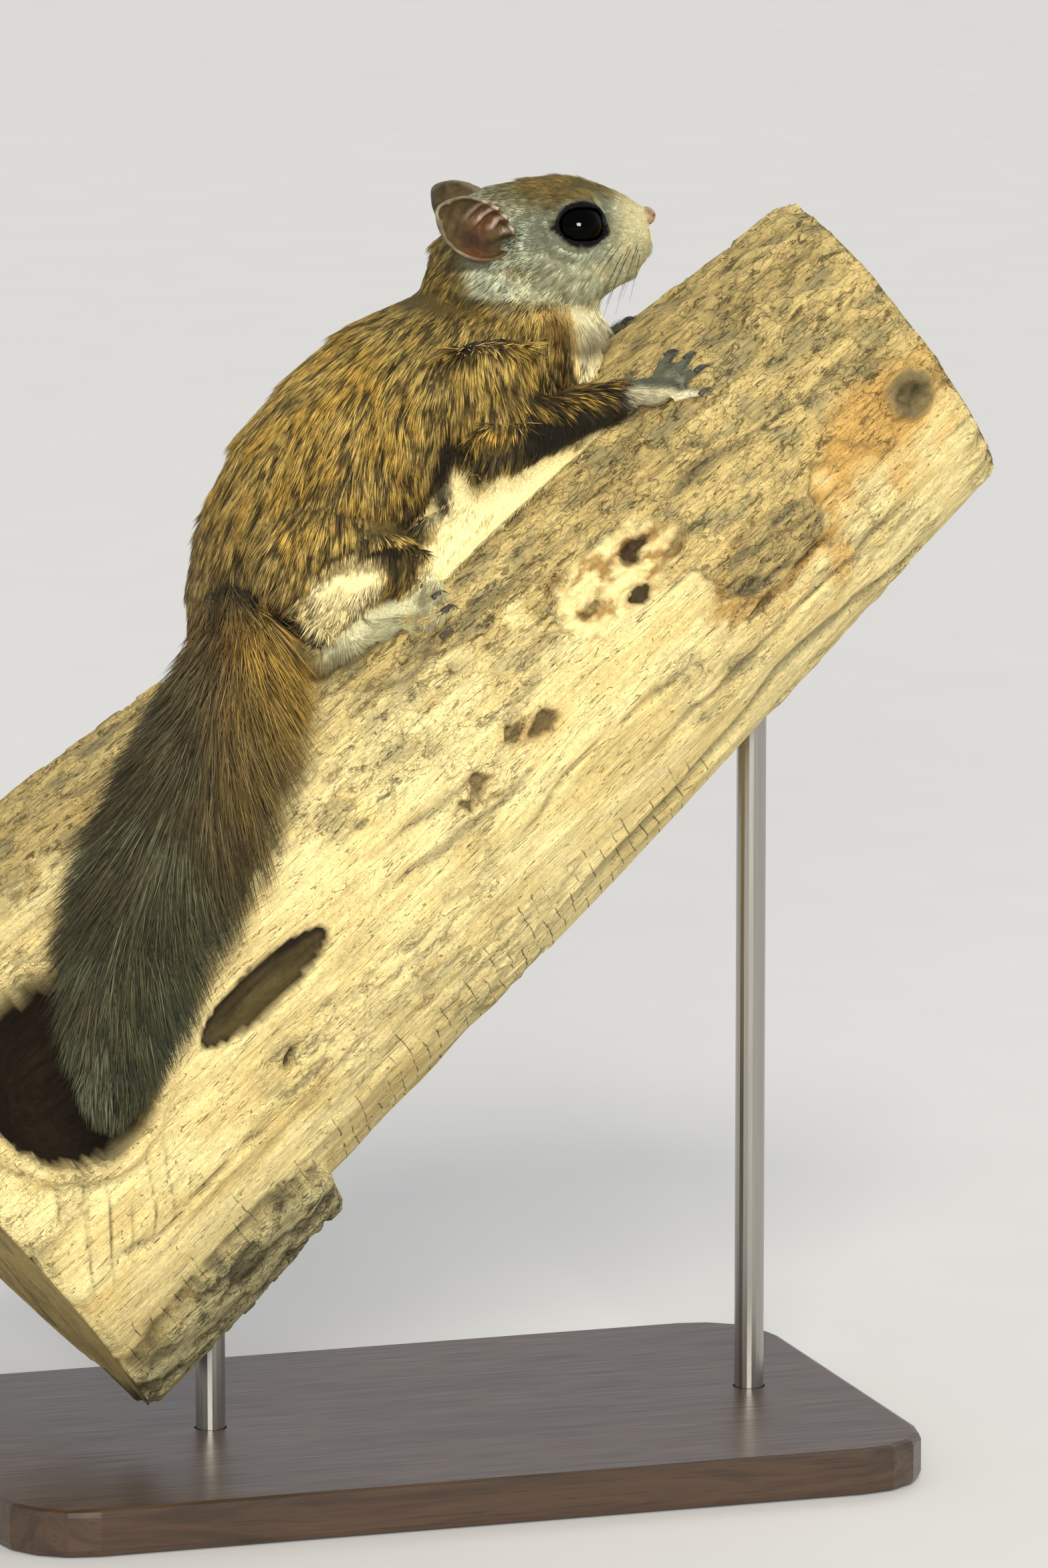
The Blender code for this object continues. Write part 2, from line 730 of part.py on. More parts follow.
def eye_frame(side):
    """Out of the eye, forward along the lids and up, for that side."""
    cos_turn, sin_turn = unit(EYE_TURN)
    cos_lift, sin_lift = unit(EYE_LIFT)
    level = HEAD_LEFT * side * cos_turn + HEAD_FORWARD * sin_turn
    out = (level * cos_lift + HEAD_UP * sin_lift).normalized()
    forward = (HEAD_FORWARD - out * HEAD_FORWARD.dot(out)).normalized()
    up = (HEAD_UP - out * HEAD_UP.dot(out) - forward * HEAD_UP.dot(forward)).normalized()
    return out, forward, up


def eye_centre(side):
    forward, left, up = EYE_CENTRE
    return head_point(forward, side * left, up)


def lids(side):
    """The rim of both lids, a ring that hugs the eyeball and draws out to the front corner."""
    out, forward, up = eye_frame(side)
    stations = []
    for i in range(20):
        cos_a, sin_a = unit(18.0 * i)
        corner = 7.0 * max(0.0, cos_a) ** 6
        opening = math.hypot(LID_OPENING[0] * cos_a, LID_OPENING[1] * sin_a) + corner
        cos_o, sin_o = unit(opening)
        direction = out * cos_o + (forward * cos_a + up * sin_a) * sin_o
        stations.append((eye_centre(side) + direction * (EYE_RADIUS + 0.3), LID_RADIUS, LID_RADIUS))
    return limb("lids", stations, out, sides=7, closed_loop=True)


def groove(name, head, points, radius):
    """A closed tube through points drawn onto the head's skin, to cut a shallow line."""
    drawn = []
    for point in points:
        hit = head.closest_point_on_mesh(point * MM)
        drawn.append((hit[1] / MM, radius, radius))
    return limb(name, drawn, HEAD_UP, sides=6)


def finish_face(head):
    """Lids, sockets, nose, nostrils and the line of the mouth."""
    axes = (HEAD_FORWARD, HEAD_LEFT, HEAD_UP)
    pad = ball("nose_pad", head_point(21.0, 0.0, 3.0), (1.9, 2.5, 2.0), axes, segments=14)
    fused(head, [lids(RIGHT), lids(LEFT), pad], solver="MANIFOLD")
    mouth = [
        head_point(forward, left, up)
        for forward, left, up in (
            (12.5, -9.0, -8.6),
            (15.5, -7.8, -8.4),
            (18.5, -6.0, -7.0),
            (21.0, -3.4, -5.4),
            (22.5, 0.0, -4.8),
            (21.0, 3.4, -5.4),
            (18.5, 6.0, -7.0),
            (15.5, 7.8, -8.4),
            (12.5, 9.0, -8.6),
        )
    ]
    combine(head, groove("mouth", head, mouth, 0.5), "DIFFERENCE", solver="MANIFOLD")
    split = [head_point(24.0, 0.0, up) for up in (1.4, -0.4, -2.4, -4.4)]
    combine(head, groove("lip_split", head, split, 0.38), "DIFFERENCE", solver="MANIFOLD")
    for side in (RIGHT, LEFT):
        nostril = ball("nostril", head_point(22.8, side * 1.2, 2.9), (0.9, 0.5, 0.55), axes, segments=10)
        combine(head, nostril, "DIFFERENCE", solver="MANIFOLD")
        socket = ball("socket", eye_centre(side), (EYE_RADIUS + GAP,) * 3, eye_frame(side), segments=22)
        combine(head, socket, "DIFFERENCE", solver="MANIFOLD")
    return thinned(cleaned(head), 2150)


def build_eye(side):
    name = "eye_" + SIDE_NAMES[side]
    return ball(name, eye_centre(side), (EYE_RADIUS,) * 3, eye_frame(side), segments=14)


def build_ear(side):
    """The cup of the ear: a half-rolled leaf with a round tip, walled by Solidify."""
    base = head_point(-9.4, side * 13.4, -0.8)
    tip = head_point(-23.0, side * 20.2, 8.0)
    axis = (tip - base).normalized()
    mouth = HEAD_FORWARD * 0.30 + HEAD_LEFT * side * 0.93 + HEAD_UP * 0.12
    mouth = (mouth - axis * mouth.dot(axis)).normalized()
    across = axis.cross(mouth)
    rows = 9
    columns = 12
    bm = bmesh.new()
    grid = []
    for i in range(rows):
        share = i / (rows - 1)
        width = 7.0 * math.sqrt(max(1.0 - (share * 1.06 - 0.34) ** 2 / 0.56, 0.012))
        wrap = 112.0 - 52.0 * share
        depth = 0.62 - 0.2 * share
        row = []
        for j in range(columns):
            across_share = 2.0 * j / (columns - 1) - 1.0
            cos_w, sin_w = unit(wrap * across_share)
            lift = EAR_LENGTH * (share - 0.1 * across_share**2 * share)
            bend = across * sin_w * width - mouth * (cos_w * width * depth)
            row.append(bm.verts.new(base + axis * lift + bend + mouth * (2.6 * share**2)))
        grid.append(row)
    for low, high in zip(grid, grid[1:]):
        for j in range(columns - 1):
            bm.faces.new((low[j], low[j + 1], high[j + 1], high[j]))
    ear = linked("ear_" + SIDE_NAMES[side], bm)
    wall = ear.modifiers.new("wall", "SOLIDIFY")
    wall.thickness = EAR_WALL * MM
    wall.offset = 0.0
    settle(ear)
    root = ball("ear_root", base - mouth * 1.5, (3.2, 4.6, 3.6), (mouth, across, axis), segments=12)
    return fused(ear, [root], solver="MANIFOLD")


TAIL_STATIONS = (
    (-55.0, 6.0, 8.8),
    (-62.0, 15.5, 8.6),
    (-70.0, 24.5, 8.4),
    (-80.0, 32.8, 8.2),
    (-92.0, 40.8, 8.0),
    (-108.0, 49.6, 7.7),
    (-123.0, 57.0, 7.4),
    (-136.0, 66.0, 7.1),
    (-145.5, 74.3, 6.7),
    (-151.5, 79.3, 6.4),
)
BRUSH_WIDTHS = ((0.0, 12.5), (0.15, 15.0), (0.32, 18.6), (0.5, 19.4), (0.65, 17.5), (0.8, 13.5), (1.0, 9.0))


def tail_place(share):
    """The tail's centre line, as a place on the bark, smoothly through its stations."""
    steps = len(TAIL_STATIONS) - 1
    at = min(max(share, 0.0), 1.12) * steps
    i = min(int(at), steps - 1)
    t = at - i
    if i == steps - 1 and t > 1.0:
        ends = TAIL_STATIONS[-2:]
        return [ends[1][k] + (ends[1][k] - ends[0][k]) * (t - 1.0) for k in range(3)]
    four = [TAIL_STATIONS[min(max(k, 0), steps)] for k in (i - 1, i, i + 1, i + 2)]
    place = []
    for k in range(3):
        a, b, c, d = (station[k] for station in four)
        place.append(b + 0.5 * t * (c - a + t * (2 * a - 5 * b + 4 * c - d + t * (3 * (b - c) + d - a))))
    return place


def tail_frame(share):
    """The tail's centre, its direction, its side and its upper face there."""
    here = on_bark(*tail_place(share))
    ahead = on_bark(*tail_place(share + 0.01))
    behind = on_bark(*tail_place(share - 0.01)) if share > 0.01 else here
    direction = (ahead - behind).normalized()
    along, turn, _ = tail_place(share)
    out = bark_frame(along, turn)[2]
    out = (out - direction * out.dot(direction)).normalized()
    return here, direction, direction.cross(out), out


def tail_length():
    points = [on_bark(*tail_place(i / 60)) for i in range(61)]
    return sum((b - a).length for a, b in zip(points, points[1:]))


def brush_width(share):
    """The half width of the flat brush of hair along the tail."""
    for (start, width), (end, next_width) in zip(BRUSH_WIDTHS, BRUSH_WIDTHS[1:]):
        if share <= end:
            break
    return width + (next_width - width) * (share - start) / (end - start)


def tail_core():
    """The solid middle of the brush, which the locks grow from."""
    rings = []
    for i in range(17):
        share = i / 16
        centre, _, side, out = tail_frame(share)
        taper = 1.0 - 0.6 * max(0.0, share - 0.75) / 0.25
        rings.append(oval(centre, side, out, TAIL_CORE_WIDTH * taper, TAIL_CORE_DEPTH * taper, sides=10))
    return lofted("tail", rings)


def lifted_clear(ring, clearance):
    """Moves a ring of points out from the perch until none is nearer the bark than the clearance."""
    shortfall = 0.0
    for point in ring:
        along, across, out = perch_coordinates(point)
        shortfall = max(shortfall, bark_radius(along) + clearance - math.hypot(across, out))
    along, across, out = perch_coordinates(sum(ring, Vector()) / len(ring))
    away = (PERCH_ACROSS * across + PERCH_OUT * out).normalized()
    return [point + away * shortfall for point in ring]


def lock(share, offset, height, length, width, splay, rise, twist):
    """One flat, tapered lock of the brush, bent along the tail's lie."""
    total = tail_length()
    at = share
    across = offset
    above = height
    rings = []
    for i, (spread, thick) in enumerate(LOCK_PROFILE):
        t = i / (len(LOCK_PROFILE) - 1)
        centre, direction, side, out = tail_frame(at)
        angle = math.radians(splay[0] + (splay[1] - splay[0]) * t)
        heading = direction * math.cos(angle) + side * math.sin(angle)
        flat = Matrix.Rotation(math.radians(twist), 3, heading) @ heading.cross(out)
        normal = heading.cross(flat)
        middle = centre + side * across + out * above
        half = flat * (spread * width * 0.5)
        deep = normal * thick
        rings.append(lifted_clear([middle + half, middle + deep, middle - half, middle - deep], 1.3))
        step = length / (len(LOCK_PROFILE) - 1)
        at += step * math.cos(angle) / total
        across += step * math.sin(angle)
        above += rise * step * (0.6 - t)
    return lofted("lock", rings)


def tail_locks():
    """The brush: locks swept out to each side, others laid down its back, and a tuft at the tip."""
    draw = random.Random(7)
    locks = []
    for i in range(SIDE_LOCKS):
        for side in (-1, 1):
            share = 0.03 + 0.92 * (i + 0.25 * side) / (SIDE_LOCKS - 1)
            reach = brush_width(share)
            lean = side * (48.0 + draw.uniform(-5, 5) - 24.0 * share**2)
            tip_lean = side * (24.0 + draw.uniform(-4, 4) - 12.0 * share)
            length = 9.5 + (reach - 5.5) * 1.15
            locks.append(lock(share, side * 5.0, -0.8, length, 9.2, (lean, tip_lean), 0.0, 12.0 * side))
    for i in range(BACK_LOCKS):
        for column in (-1, 0, 1):
            share = 0.05 + 0.86 * (i + 0.5 * (column % 2)) / (BACK_LOCKS - 1)
            lean = column * 17.0 + draw.uniform(-4, 4)
            twist = column * 18.0 + draw.uniform(-6, 6)
            locks.append(lock(share, column * 4.2, 3.0, 21.0, 6.8, (lean, lean * 0.7), 0.3, twist))
    for i in range(TIP_LOCKS):
        lean = 44.0 * (i / (TIP_LOCKS - 1) - 0.5)
        length = 20.0 - 0.12 * abs(lean)
        share = 0.945 + 0.012 * (i % 2) + 0.003 * i
        locks.append(lock(share, lean * 0.11, 0.6 * (i % 2), length, 6.6, (lean, 0.0), 0.0, 9.0 * (i % 2)))
    return locks


def build_tail(body, feet):
    """The whole brush in one piece, cut clear of the rump and heels, then parted into three lengths."""
    tail = fused(tail_core(), tail_locks(), solver="MANIFOLD")
    combine(tail, swollen(body, "rump_cut", GAP), "DIFFERENCE", solver="MANIFOLD")
    for foot in feet:
        combine(tail, swollen(foot, "heel_cut", GAP), "DIFFERENCE", solver="MANIFOLD")
    lengths = []
    bounds = (-0.2,) + TAIL_CUTS + (1.4,)
    for i, name in enumerate(("tail_root", "tail_middle", "tail_tip")):
        node = copied(tail, name)
        for share, keep in ((bounds[i], 1.0), (bounds[i + 1], -1.0)):
            if 0.0 < share < 1.0:
                centre, direction, side, out = tail_frame(share)
                centre = centre - direction * keep * (90.0 - GAP * 0.5)
                away = block("away", centre, (90.0, 90.0, 90.0), (side, out, direction))
                combine(node, away, "DIFFERENCE", solver="MANIFOLD")
        lengths.append(thinned(cleaned(node), TAIL_NODE_TRIANGLES))
    bpy.data.objects.remove(tail)
    return lengths


FINISHES = {
    "perch": ((0.52, 0.40, 0.22), 0.85, 0.0),
    "stand_base": ((0.06, 0.045, 0.035), 0.45, 0.0),
    "stand_rod": ((0.30, 0.28, 0.25), 0.35, 1.0),
    "eye": ((0.006, 0.005, 0.005), 0.05, 0.0),
    "ear": ((0.33, 0.20, 0.13), 0.6, 0.0),
    "head": ((0.36, 0.36, 0.28), 0.9, 0.0),
    "neck": ((0.30, 0.22, 0.10), 0.9, 0.0),
    "torso": ((0.42, 0.27, 0.09), 0.9, 0.0),
    "upper_arm": ((0.42, 0.27, 0.09), 0.9, 0.0),
    "forearm": ((0.22, 0.17, 0.09), 0.9, 0.0),
    "thigh": ((0.42, 0.27, 0.09), 0.9, 0.0),
    "shank": ((0.62, 0.52, 0.32), 0.9, 0.0),
    "membrane": ((0.70, 0.60, 0.38), 0.9, 0.0),
    "hand": ((0.27, 0.27, 0.22), 0.75, 0.0),
    "foot": ((0.40, 0.40, 0.32), 0.75, 0.0),
    "tail_root": ((0.30, 0.18, 0.07), 0.9, 0.0),
    "tail_middle": ((0.20, 0.15, 0.08), 0.9, 0.0),
    "tail_tip": ((0.11, 0.10, 0.08), 0.9, 0.0),
}


def finish(obj):
    """Gives a node its own material, and puts it in the object's collection."""
    kind = max((name for name in FINISHES if obj.name.startswith(name)), key=len)
    colour, roughness, metallic = FINISHES[kind]
    material = bpy.data.materials.new(obj.name)
    material.use_nodes = True
    shader = material.node_tree.nodes["Principled BSDF"]
    shader.inputs["Base Color"].default_value = (*colour, 1.0)
    shader.inputs["Roughness"].default_value = roughness
    shader.inputs["Metallic"].default_value = metallic
    obj.data.materials.clear()
    obj.data.materials.append(material)
    obj.data.shade_smooth()
    obj.data.set_sharp_from_angle(angle=math.radians(40.0))
    for collection in list(obj.users_collection):
        collection.objects.unlink(obj)
    MODEL.objects.link(obj)


def build_animal():
    """The squirrel's nodes, each cut clear of what it grows from."""
    outline = build_outline()
    whole = resting(outline, "torso", BODY_TRIANGLES)
    head = resting(outline, "head", HEAD_TRIANGLES)
    bpy.data.objects.remove(outline)
    outline = copied(whole, "outline")
    combine(head, head_region(0.0), "INTERSECT", solver="MANIFOLD")
    combine(whole, head_region(GAP), "DIFFERENCE", solver="MANIFOLD")
    cleaned(head)
    cleaned(whole)
    hands = [build_hand(side) for side in (RIGHT, LEFT)]
    feet = [build_foot(side) for side in (RIGHT, LEFT)]
    for paw in hands + feet:
        combine(paw, swollen(outline, "limb_cut", GAP), "DIFFERENCE", solver="MANIFOLD")
        combine(paw, branch("bark_cut", GAP), "DIFFERENCE", solver="MANIFOLD")
        thinned(cleaned(paw), 450)
    nodes = hands + feet
    nodes.append(carved(whole, neck_region, "neck"))
    for side in (RIGHT, LEFT):
        letter = SIDE_NAMES[side]
        nodes.append(carved(whole, forearm_region(side), "forearm_" + letter))
        nodes.append(carved(whole, upper_arm_region(side), "upper_arm_" + letter))
        nodes.append(carved(whole, shank_region(side), "shank_" + letter))
        nodes.append(carved(whole, thigh_region(side), "thigh_" + letter))
        nodes.append(carved(whole, membrane_region(side), "membrane_" + letter))
    nodes.append(whole)
    for side in (RIGHT, LEFT):
        ear = build_ear(side)
        combine(ear, swollen(outline, "ear_cut", GAP), "DIFFERENCE", solver="MANIFOLD")
        nodes += [thinned(cleaned(ear), 380), build_eye(side)]
    nodes.append(finish_face(head))
    nodes += build_tail(outline, feet)
    bpy.data.objects.remove(outline)
    return nodes


for startup_object in list(bpy.data.objects):
    bpy.data.objects.remove(startup_object)
WORKSHOP = bpy.data.collections.new("workshop")
MODEL = bpy.data.collections.new("flying_squirrel")
bpy.context.scene.collection.children.link(WORKSHOP)
bpy.context.scene.collection.children.link(MODEL)
for built in [build_perch()] + build_stand() + build_animal():
    finish(built)
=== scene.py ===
"""A flying squirrel, head up on a short cut length of sloping dead branch, dressed in its coat.

Sizes are in millimetres until a mesh is made. Three frames place the pieces, as in the solids: the perch's
own (along it, across to the squirrel's left, out from its axis), the round of the bark (along, degrees round
from the top to the squirrel's right, height over the bark) and the head's (forward, left, up).
"""

import math
from contextlib import contextmanager

import bmesh
import bpy
import numpy as np
from mathutils import Matrix, Vector
from mathutils.kdtree import KDTree


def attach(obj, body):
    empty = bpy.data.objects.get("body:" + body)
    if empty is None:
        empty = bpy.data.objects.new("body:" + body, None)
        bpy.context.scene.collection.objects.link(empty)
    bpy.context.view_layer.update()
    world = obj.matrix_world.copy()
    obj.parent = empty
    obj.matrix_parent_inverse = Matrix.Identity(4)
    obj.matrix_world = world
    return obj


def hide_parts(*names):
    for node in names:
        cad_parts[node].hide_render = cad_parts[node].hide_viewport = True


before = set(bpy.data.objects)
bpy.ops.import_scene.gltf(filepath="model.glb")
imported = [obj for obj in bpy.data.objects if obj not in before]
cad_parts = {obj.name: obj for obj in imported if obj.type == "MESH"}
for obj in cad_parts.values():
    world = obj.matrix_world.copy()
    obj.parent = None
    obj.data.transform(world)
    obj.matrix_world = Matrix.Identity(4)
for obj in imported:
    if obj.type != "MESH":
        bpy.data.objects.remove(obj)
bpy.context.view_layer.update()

MM = 0.001
SIDES = {"r": -1.0, "l": 1.0}

# The perch
PERCH_SLOPE = 39.0
PERCH_ORIGIN = np.array((44.0, 0.0, 184.0))
PERCH_LOW_END = -188.0
PERCH_HIGH_END = 86.0
BARK_RADIUS = 42.5
BARK_TAPER = 0.08
BARK_LUMP = 0.8
KNOT_HOLE = (-155.5, 70.0)
KNOT_HOLE_RADII = (18.5, 20.5, 22.0)
SLOT_HOLE = (-112.5, 86.5)
SLOT_HOLE_RADII = (18.0, 5.0, 4.5)
BARK_STEP = 0.80
UNDERSIDE_STEP = 1.9

# The body
SKIN_VOXEL = 0.62
SKIN_TRIANGLES = 100000
NODE_GROW = 0.3
HEAD_CENTRE = PERCH_ORIGIN + np.array((-11.0, 0.0, 80.0))
HEAD_YAW = -12.0
HEAD_PITCH = 2.0
EYE_CENTRE = (5.5, 8.5, 2.5)
EYE_RADIUS = 5.5
EYE_TURN = 16.0
EYE_LIFT = 8.0
LID_OPENING = (65.0, 54.0)
CORNEA_BULGE = 0.03
EAR_ROOT = (-10.9, 14.6, 0.4)
EAR_TIP = (-25.6, 20.2, 8.6)
FAR_EAR_PRICKED = 5.8
EAR_LENGTH = 17.8
EAR_HALF_WIDTH = 6.1
EAR_DEPTH = 4.4
EAR_WALL = 0.7
NOSE_PAD = (21.4, 0.0, 3.0)
ELBOW = (1.5, 29.0, 49.5)
WRIST_PLACE = (30.0, 33.5, 6.0)
LEFT_HAND_AHEAD = 4.0

# The tail
TAIL_CORE_WIDTH = 8.5
TAIL_CORE_DEPTH = 4.6
TAIL_STATIONS = (
    (-55.0, 6.0, 8.8),
    (-62.0, 15.5, 8.6),
    (-70.0, 24.5, 8.4),
    (-80.0, 32.8, 8.2),
    (-92.0, 40.8, 8.0),
    (-108.0, 49.6, 7.7),
    (-123.0, 57.0, 7.4),
    (-136.0, 66.0, 7.1),
    (-145.5, 74.3, 6.7),
    (-151.5, 79.3, 6.4),
)
# Half the brush's width, at shares of the tail's length
BRUSH_WIDTHS = (
    (0.0, 12.5), (0.15, 16.5), (0.32, 22.0), (0.45, 24.0), (0.6, 23.5),
    (0.7, 21.5), (0.82, 17.5), (1.0, 10.5), (1.12, 4.0),
)
BRUSH_HEIGHT = 7.6
BRUSH_STRAND = 16.0

# The coat
ROOT_DEPTH = 0.25
MOST_TRIANGLES = 195000

# The camera
CAMERA_AZIMUTH = -18.0
CAMERA_ELEVATION = 10.0
CAMERA_DISTANCE = 2000.0
FRAME_HEIGHT = 335.0
FRAME_SHIFT = (-15.286, -38.357)
SENSOR_WIDTH = 36.0


def cos_sin(angle):
    return math.cos(math.radians(angle)), math.sin(math.radians(angle))


def turned(yaw, pitch):
    """Forward, left and up of a frame yawed to the left and pitched up, in degrees."""
    cos_yaw, sin_yaw = cos_sin(yaw)
    cos_pitch, sin_pitch = cos_sin(pitch)
    forward = np.array((cos_yaw * cos_pitch, sin_yaw * cos_pitch, sin_pitch))
    left = np.array((-sin_yaw, cos_yaw, 0.0))
    return np.array((forward, left, np.cross(forward, left)))


def bearing(azimuth, elevation):
    """The way towards a place round the object."""
    cos_e, sin_e = cos_sin(elevation)
    cos_a, sin_a = cos_sin(azimuth)
    return Vector((sin_a * cos_e, -cos_a * cos_e, sin_e))


PERCH_AXES = turned(0.0, PERCH_SLOPE)
HEAD_AXES = turned(HEAD_YAW, HEAD_PITCH)


def perch_point(along, across, out):
    return PERCH_ORIGIN + np.array((along, across, out)) @ PERCH_AXES


def head_point(forward, left, up):
    return HEAD_CENTRE + np.array((forward, left, up)) @ HEAD_AXES


def in_perch(points):
    return (points - PERCH_ORIGIN) @ PERCH_AXES.T


def in_head(points):
    return (points - HEAD_CENTRE) @ HEAD_AXES.T


def on_bark(along, turn, height):
    """Points over the bark, turned from the perch's top towards the squirrel's right."""
    reach = BARK_RADIUS - BARK_TAPER * along + height
    angle = np.radians(turn)
    local = np.stack(np.broadcast_arrays(along, -reach * np.sin(angle), reach * np.cos(angle)), axis=-1)
    return PERCH_ORIGIN + local @ PERCH_AXES


def bark_height(perch):
    """The height over the bark and the turn of points in the perch's frame."""
    along, across, out = perch.T
    return np.hypot(across, out) - (BARK_RADIUS - BARK_TAPER * along), np.degrees(np.arctan2(-across, out))


def step(low, high, value):
    """A smooth rise from 0 to 1 as the value goes from low to high."""
    t = np.clip((value - low) / (high - low), 0.0, 1.0)
    return t * t * (3.0 - 2.0 * t)


def bump(value, centre, half_width):
    """1 at the centre, falling smoothly to 0 at the half width."""
    return 1.0 - step(0.0, 1.0, np.abs(value - centre) / half_width)


def unit(vectors):
    return vectors / np.maximum(np.linalg.norm(vectors, axis=-1, keepdims=True), 1e-9)


def mixed(first, second, share):
    """A blend of two colours or arrays of them, by a share for each point."""
    share = np.asarray(share)[..., None]
    return first * (1.0 - share) + np.asarray(second) * share


def lattice(cells, seed):
    """A number from 0 to 1 for each corner of a lattice."""
    x, y, z = np.moveaxis(cells, -1, 0)
    mixed_up = (x * 73856093) ^ (y * 19349663) ^ (z * 83492791) ^ (seed * 2654435)
    mixed_up = ((mixed_up ^ (mixed_up >> 13)) * 1274126177) & 0x7FFFFFFF
    return ((mixed_up ^ (mixed_up >> 16)) & 0xFFFF) / 65535.0


def noise(points, seed=0):
    """Smooth noise from 0 to 1, with features about one unit across."""
    cell = np.floor(points).astype(np.int64)
    t = points - cell
    t = t * t * (3.0 - 2.0 * t)
    total = 0.0
    for corner in range(8):
        offset = np.array((corner & 1, corner >> 1 & 1, corner >> 2))
        weight = np.prod(np.where(offset, t, 1.0 - t), axis=-1)
        total = total + weight * lattice(cell + offset, seed)
    return total


def layered(points, seed=0, octaves=3):
    total, size, weight = 0.0, 1.0, 0.5
    for octave in range(octaves):
        total = total + weight * noise(points * size, seed + octave * 17)
        size *= 2.03
        weight *= 0.5
    return total / (1.0 - 0.5**octaves)


# Making meshes


def added(name, data):
    """A new object of the scene."""
    obj = bpy.data.objects.new(name, data)
    bpy.context.scene.collection.objects.link(obj)
    return obj


def new_object(name, points, faces):
    """An object from points in millimetres and faces of equal size."""
    mesh = bpy.data.meshes.new(name)
    faces = np.asarray(faces)
    sides = faces.shape[1]
    mesh.vertices.add(len(points))
    mesh.vertices.foreach_set("co", (np.asarray(points) * MM).astype(np.float32).ravel())
    mesh.loops.add(faces.size)
    mesh.loops.foreach_set("vertex_index", faces.ravel().astype(np.int32))
    mesh.polygons.add(len(faces))
    mesh.polygons.foreach_set("loop_start", np.arange(0, faces.size, sides, dtype=np.int32))
    mesh.polygons.foreach_set("use_smooth", np.full(len(faces), True))
    mesh.update(calc_edges=True)
    return added(name, mesh)


def read_points(obj, label):
    flat = np.zeros(len(obj.data.vertices) * 3, np.float32)
    obj.data.vertices.foreach_get(label, flat)
    return flat.reshape(-1, 3).astype(float)


def points_of(obj):
    return read_points(obj, "co") / MM


def normals_of(obj):
    return read_points(obj, "normal")


def coloured(obj, tones, label="coat"):
    """Gives each point of a mesh a colour, under a name that its finish reads."""
    attribute = obj.data.attributes.new(label, "FLOAT_COLOR", "POINT")
    opaque = np.column_stack((tones, np.ones(len(tones))))
    attribute.data.foreach_set("color", opaque.astype(np.float32).ravel())


def place_points(obj, points):
    obj.data.vertices.foreach_set("co", (points * MM).astype(np.float32).ravel())
    obj.data.update()


def tube_rings(centres, rights, ups, half_widths, half_heights, sides):
    """Rings of points round a line of centres, one row for each."""
    angles = 2.0 * np.pi * (np.arange(sides) + 0.5) / sides
    across = np.cos(angles)[None, :, None] * rights[:, None] * np.reshape(half_widths, (-1, 1, 1))
    above = np.sin(angles)[None, :, None] * ups[:, None] * np.reshape(half_heights, (-1, 1, 1))
    return centres[:, None] + across + above


def ring_faces(rows, sides):
    """Quads between rings, outwards where the rings turn left about their way."""
    row, side = np.meshgrid(np.arange(rows - 1), np.arange(sides), indexing="ij")
    following = (side + 1) % sides
    first, second = row * sides + side, row * sides + following
    return np.stack((first, second, second + sides, first + sides), axis=-1).reshape(-1, 4)


def select_only(*objects):
    bpy.ops.object.select_all(action="DESELECT")
    for obj in objects:
        obj.select_set(True)
    bpy.context.view_layer.objects.active = objects[0]


@contextmanager
def all_edited(obj):
    """Edit mode, with all of one object's mesh selected."""
    select_only(obj)
    bpy.ops.object.mode_set(mode="EDIT")
    bpy.ops.mesh.select_all(action="SELECT")
    yield
    bpy.ops.object.mode_set(mode="OBJECT")


def joined(objects, name):
    select_only(*objects)
    bpy.ops.object.join()
    objects[0].name = name
    objects[0].data.name = name
    return objects[0]


def applied(obj, kind, **settings):
    """Adds a modifier, sets it and applies it."""
    select_only(obj)
    modifier = obj.modifiers.new(kind.lower(), kind)
    for key, value in settings.items():
        setattr(modifier, key, value)
    bpy.ops.object.modifier_apply(modifier=modifier.name)
    return obj


def capped_tube(name, rings):
    """A closed tube through rings of points."""
    rows, sides = rings.shape[:2]
    obj = new_object(name, rings.reshape(-1, 3), ring_faces(rows, sides))
    with all_edited(obj):
        bpy.ops.mesh.region_to_loop()
        bpy.ops.mesh.edge_face_add()
        bpy.ops.mesh.select_all(action="SELECT")
        bpy.ops.mesh.quads_convert_to_tris()
        bpy.ops.mesh.normals_make_consistent(inside=False)
    return obj


def keep_largest(obj):
    """Drops all but the largest connected surface."""
    bm = bmesh.new()
    bm.from_mesh(obj.data)
    unseen = set(bm.faces)
    pieces = []
    while unseen:
        front = [unseen.pop()]
        piece = list(front)
        while front:
            for edge in front.pop().edges:
                for near in edge.link_faces:
                    if near in unseen:
                        unseen.discard(near)
                        piece.append(near)
                        front.append(near)
        pieces.append(piece)
    pieces.sort(key=len)
    bmesh.ops.delete(bm, geom=[face for piece in pieces[:-1] for face in piece], context="FACES")
    bm.to_mesh(obj.data)
    bm.free()
    return obj


# The tail's line


def tail_place(share):
    """The tail's centre line as places on the bark, smoothly through its stations."""
    stations = np.array(TAIL_STATIONS)
    steps = len(stations) - 1
    at = np.clip(share, 0.0, 1.12) * steps
    i = np.minimum(at.astype(int), steps - 1)
    t = (at - i)[..., None]
    a, b, c, d = (stations[np.clip(i + k, 0, steps)] for k in (-1, 0, 1, 2))
    curve = b + 0.5 * t * (c - a + t * (2 * a - 5 * b + 4 * c - d + t * (3 * (b - c) + d - a)))
    straight = stations[-1] + (stations[-1] - stations[-2]) * (t - 1.0)
    return np.where(at[..., None] > steps, straight, curve)


